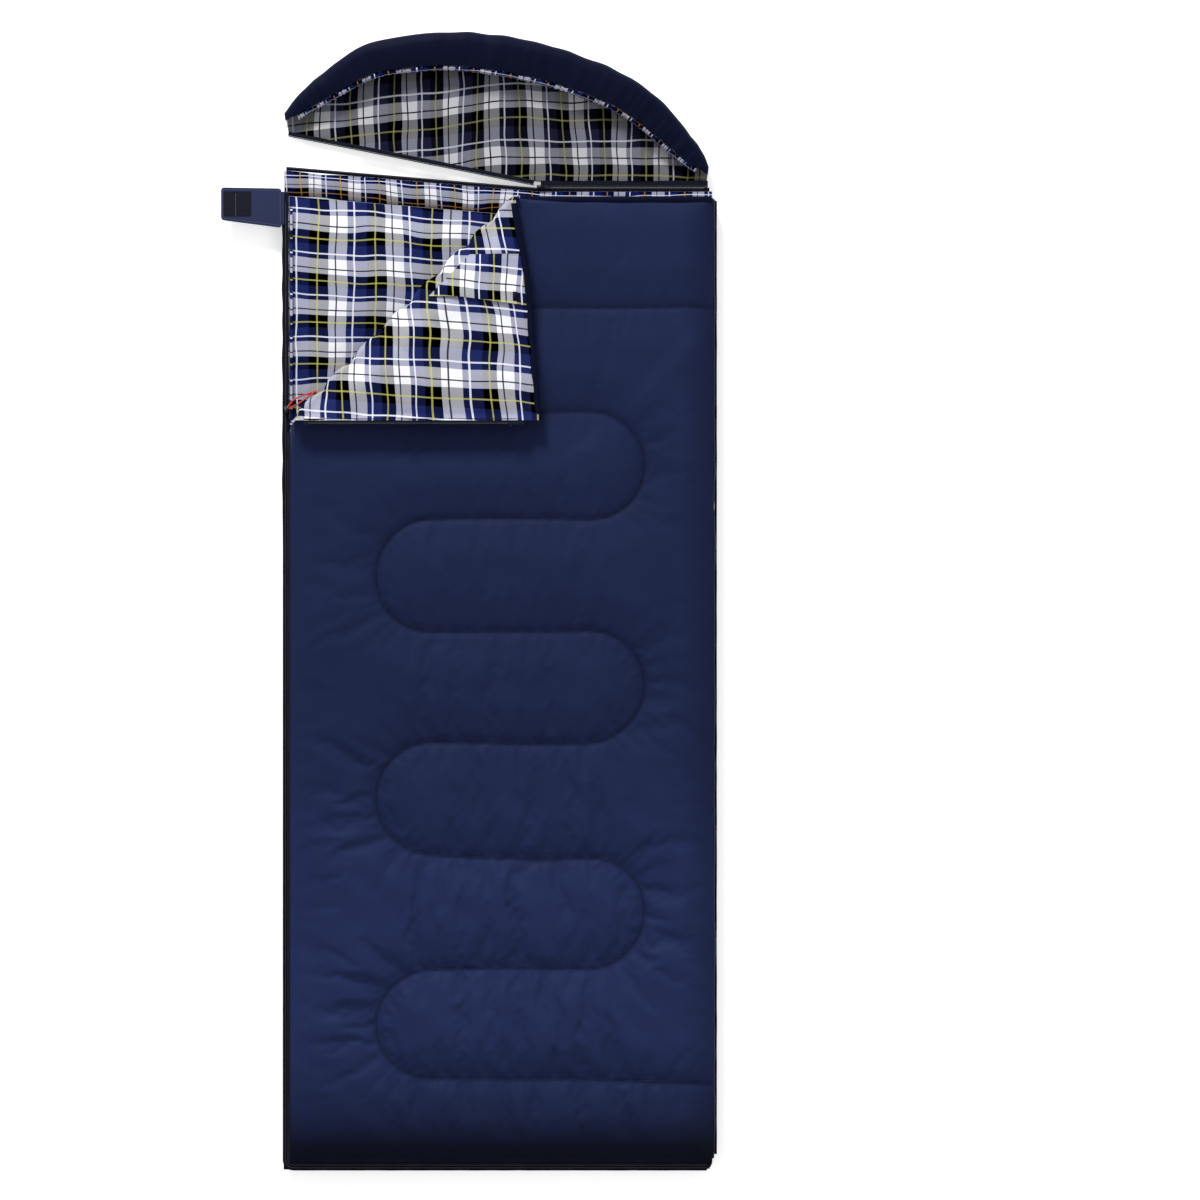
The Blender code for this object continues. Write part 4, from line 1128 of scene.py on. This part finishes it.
# ---------------------------------------------------------------- hard parts
def rounded_copy(node, name, body, material, slot, width):
    """The CAD solid with its edges rounded."""
    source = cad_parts[node]
    mesh = source.data.copy()
    mesh.name = name
    mesh.transform(source.matrix_world)
    mesh.materials.clear()
    mesh.materials.append(material)
    for layer in list(mesh.uv_layers):
        mesh.uv_layers.remove(layer)
    edit = bmesh.new()
    edit.from_mesh(mesh)
    bmesh.ops.remove_doubles(edit, verts=edit.verts, dist=1e-6)
    bmesh.ops.dissolve_limit(edit, angle_limit=math.radians(2), verts=edit.verts, edges=edit.edges)
    sharp = [edge for edge in edit.edges
             if len(edge.link_faces) == 2 and edge.calc_face_angle(0) > math.radians(30)]
    bmesh.ops.bevel(edit, geom=sharp, offset=width, segments=3, affect="EDGES", clamp_overlap=True)
    layer = edit.loops.layers.uv.new("Fabric")
    for face in edit.faces:
        for loop in face.loops:
            loop[layer].uv = (loop.vert.co.x, loop.vert.co.y)
    edit.to_mesh(mesh)
    edit.free()
    add_piece(smooth_shaded(mesh), body, slot, node)


for node, body in (("side_slider", "side_slider"), ("neck_slider", "neck_slider"),
                   ("side_pull", "side_pull"), ("neck_pull", "neck_pull"),
                   ("back_top_stop", "back_panel"), ("flap_top_stop", "corner_flap"),
                   ("foot_end_stop", "back_panel"), ("neck_end_stop", "back_panel")):
    rounded_copy(node, node + "_shape", body, METAL, "metal", 0.0002)

# ---------------------------------------------------------------- pull cord
PULL_TURN, PULL_UP = math.radians(45), math.radians(38)
SIDE_ARCH_Z = CHAIN_Z + 0.0018 + 0.0014 + 0.0045 - 0.0006
PULL_LEVEL = np.array((math.cos(PULL_TURN), math.sin(PULL_TURN), 0))
PULL_AHEAD = PULL_LEVEL * math.cos(PULL_UP) + UP * math.sin(PULL_UP)
CORD_TIP = np.array((-0.3625, 0.5555, 0.0440))
CORD_AT_EYE = 0.03


def cord_middle(far):
    eye = np.array((CHAIN_X, SLIDER_Y, SIDE_ARCH_Z)) + PULL_AHEAD * 0.0064
    bend = eye + PULL_LEVEL * 0.020 + UP * 0.004
    here = eye * (1 - far) ** 2 + bend * 2 * far * (1 - far) + CORD_TIP * far * far
    ahead = (bend - eye) * (1 - far) + (CORD_TIP - bend) * far
    side = np.array((-ahead[1], ahead[0], 0.0))
    return here, side / np.linalg.norm(side), ahead / np.linalg.norm(ahead)


def cord_point(t):
    far = abs(t)
    here, side, ahead = cord_middle(max(far - CORD_AT_EYE, 0.0) / (1 - CORD_AT_EYE))
    across = 0.0016 * min(far / CORD_AT_EYE, 1.0) + 0.0040 * math.sin(math.pi * far) ** 1.5
    return here + side * math.copysign(across, t)


def twisted(name, path, radius, turns_per_metre):
    """Two strands laid round each other along the path."""
    path = evenly(path, 0.0008)
    ahead, side, up = path_frames(path)
    along = np.arange(len(path)) * 0.0008
    strands = []
    for phase in (0.0, math.pi):
        turn = phase + along * turns_per_metre * 2 * math.pi
        centre = path + (side * np.cos(turn)[:, None] + up * np.sin(turn)[:, None]) * radius * 0.46
        strands.append(ring_tube(name + "_strand", tube_rings(centre, radius * 0.60, 8), CORD))
    return joined(name, strands)


cord_steps = np.linspace(-1, 1, 161)
cord_path = [cord_point(power(t, 1.5)) for t in cord_steps]
cord_piece = add_piece(twisted("pull_cord_twist", cord_path, 0.0016, 150.0), "side_pull", "cord", "pull_cord")
knot_rings = []
tip, knot_side, knot_ahead = cord_middle(1.0)
knot_up = np.cross(knot_side, knot_ahead)
for k in range(15):
    s = k / 14
    radius = 0.0014 + 0.0024 * math.sin(math.pi * s) ** 0.6
    bulge = [radius * (1 + 0.10 * math.sin(2 * turn + 9 * s)) for turn in around(16)]
    centre = tip + knot_ahead * (0.0010 + 0.0084 * s)
    knot_rings.append([centre + knot_side * math.cos(turn) * r + knot_up * math.sin(turn) * r
                       for turn, r in zip(around(16), bulge)])
knot = add_piece(ring_tube("pull_cord_knot", knot_rings, CORD), "side_pull", "cord", "cord_knot")


# ---------------------------------------------------------------- hems, pocket, tab
def hem(name, body, node, low, high, turned):
    """A folded strip of shell fabric over the quilt's cut top edge."""
    rings, uvs = [], []
    for x in np.arange(low, high, 0.004):
        top = float(front_top(x))
        roll = 0.0006 * float(ripples(x, 0.0, 0.07, 121))
        rings.append([(x, top - 0.0035 + 0.0062 * power(math.cos(t), 0.6),
                       0.049 + (0.0062 + roll) * power(math.sin(t), 0.6)) for t in around(16)])
        uvs.append([(x, top + 0.002 * k) for k in range(16)])
    rings = np.array(rings)
    if turned:
        rings = turn_back(rings.reshape(-1, 3)).reshape(rings.shape)
    add_piece(ring_tube(name, rings, SHELL_DARK, uvs), body, "shell", node)


hem("front_hem", "front_panel", "front_top_hem", HEM_X + 0.012, PANEL_RIGHT - 0.001, False)
hem("corner_hem", "corner_flap", "flap_top_hem", FRONT_LEFT + 0.001, HEM_X - 0.012, True)


def flap_top_height(x, y):
    """Height of the turned-back corner's lining at a point over the bag."""
    x = x - drawn_out(x, y)
    return 2 * FOLD_Z - quilt_skin(y - FOLD_OFFSET, x + FOLD_OFFSET, -1)


def pocket():
    """A patch of the same lining on the corner, its tartan not matched to what lies under it."""
    upper, lower, uvs = [], [], []
    for v in np.linspace(0, 1, 34):
        left, right = -0.136 + 0.078 * v, 0.052 - 0.012 * v
        xs = np.linspace(left, right, 62)
        bottom = np.interp(xs, (-0.140, -0.075, 0.042), (0.7400, 0.7380, 0.7220))
        y = bottom + (POCKET_TOP - bottom) * v
        base = flap_top_height(xs, y)
        edge = np.minimum.reduce([xs - left, right - xs, POCKET_TOP - y])
        lift = 0.0010 * smooth(edge / 0.012) + 0.0007 * ripples(xs, y, 0.05, 131) * smooth(edge / 0.03)
        sag = 0.0026 * smooth((bottom + 0.022 - y) / 0.022) * smooth(edge / 0.02)
        upper.append(np.stack([xs, y, base + 0.0016 + lift + sag], axis=1))
        lower.append(np.stack([xs, y, base + 0.0004 + lift * 0.6 + sag], axis=1))
        uvs.append(np.stack([y + 0.029 + 0.08 * xs, xs + 0.043], axis=1))
    return grid_body("pocket_panel", np.array(upper), np.array(lower), [LINING_FLAP] * 3, np.array(uvs))


POCKET_TOP = 0.820
pocket_piece = add_piece(pocket(), "corner_flap", "lining", "inner_pocket")

for node, name, body, material, slot in (
        ("pocket_loop", "pocket_bar", "corner_flap", TAPE, "tape"),
        ("closure_tab", "tab_panel", "closure_tab", SHELL_TAB, "shell"),
        ("hook_patch", "hook_panel", "closure_tab", HOOK, "patch"),
        ("loop_patch", "loop_panel", "corner_flap", HOOK, "patch"),
        ("lining_side_roll", "lining_roll", "back_panel", LINING, "lining")):
    rounded_copy(node, name, body, material, slot, 0.0003)

TAB_MIDDLE_Y, TAB_MIDDLE_Z, TAB_ROOT = 0.914, 0.03175, -0.4235


def tab_strap():
    """The tab's root, sewn under the side tape."""
    xs = np.linspace(TAB_ROOT - 0.0008, -0.4175, 9)
    rings = [[(x, TAB_MIDDLE_Y + 0.0320 * power(math.cos(t), 0.35),
               TAB_MIDDLE_Z + 0.0015 * power(math.sin(t), 0.6)) for t in around(20)] for x in xs]
    uvs = [[(x, TAB_MIDDLE_Y + 0.0320 * math.cos(t)) for t in around(20)] for x in xs]
    return ring_tube("tab_strap", rings, SHELL_TAB, uvs)


strap = add_piece(tab_strap(), None, "shell")
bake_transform(strap)
TAB_EDGE = ((-0.4255, 0.9475), (-0.5365, 0.9500), (-0.5365, 0.8945), (-0.4255, 0.8805))
HOOK_EDGE = [(-0.5115, 0.8985, 0.0349), (-0.5115, 0.9425, 0.0349)]
stitch_line("tab_stitching", "closure_tab", [(x, y, 0.0337) for x, y in TAB_EDGE + TAB_EDGE[:1]], 0.0001,
            0.0030, 0.0012, 0.0004, THREAD_TAB)
stitch_line("hook_stitching", "closure_tab", HOOK_EDGE, 0.0001, 0.0030, 0.0008, 0.0006, THREAD_TAB)

# ---------------------------------------------------------------- stage
floor_mesh = bpy.data.meshes.new("floor")
floor_corners = [(60 * x, 60 * y, -0.0006) for x, y in ((-1, -1), (1, -1), (1, 1), (-1, 1))]
floor_mesh.from_pydata(floor_corners, [], [(0, 1, 2, 3)])
floor_nodes = Nodes("floor")
floor_nodes.set(Specular_IOR_Level=0.0, Emission_Color=(1.0, 1.0, 1.0, 1.0), Emission_Strength=0.46)
floor_mesh.materials.append(floor_nodes.finish((0.93, 0.93, 0.93, 1.0), 0.95))
linked("floor", floor_mesh)


def area_light(name, place, aim, size, watts):
    light = bpy.data.lights.new(name, "AREA")
    light.shape = "DISK"
    light.size = size
    light.energy = watts
    obj = linked(name, light)
    obj.location = place
    obj.rotation_euler = (Vector(aim) - Vector(place)).to_track_quat("-Z", "Y").to_euler()


area_light("head_light", (-1.2, 4.6, 2.4), (0, 0, 0), 1.4, 240)
area_light("fill_light", (3.5, -1.5, 4.5), (0, 0, 0), 3.0, 45)
world = bpy.data.worlds.new("studio")
world.use_nodes = True
world.node_tree.nodes["Background"].inputs[0].default_value = (1.0, 1.0, 1.0, 1.0)
world.node_tree.nodes["Background"].inputs[1].default_value = 0.56
bpy.context.scene.world = world
bpy.context.scene.view_settings.view_transform = "Standard"

camera_data = bpy.data.cameras.new("camera")
camera_data.lens = 100.0
camera_data.sensor_width = 36.0
camera = linked("camera", camera_data)
camera.location = (0.193, 0.156, 6.48)
bpy.context.scene.camera = camera
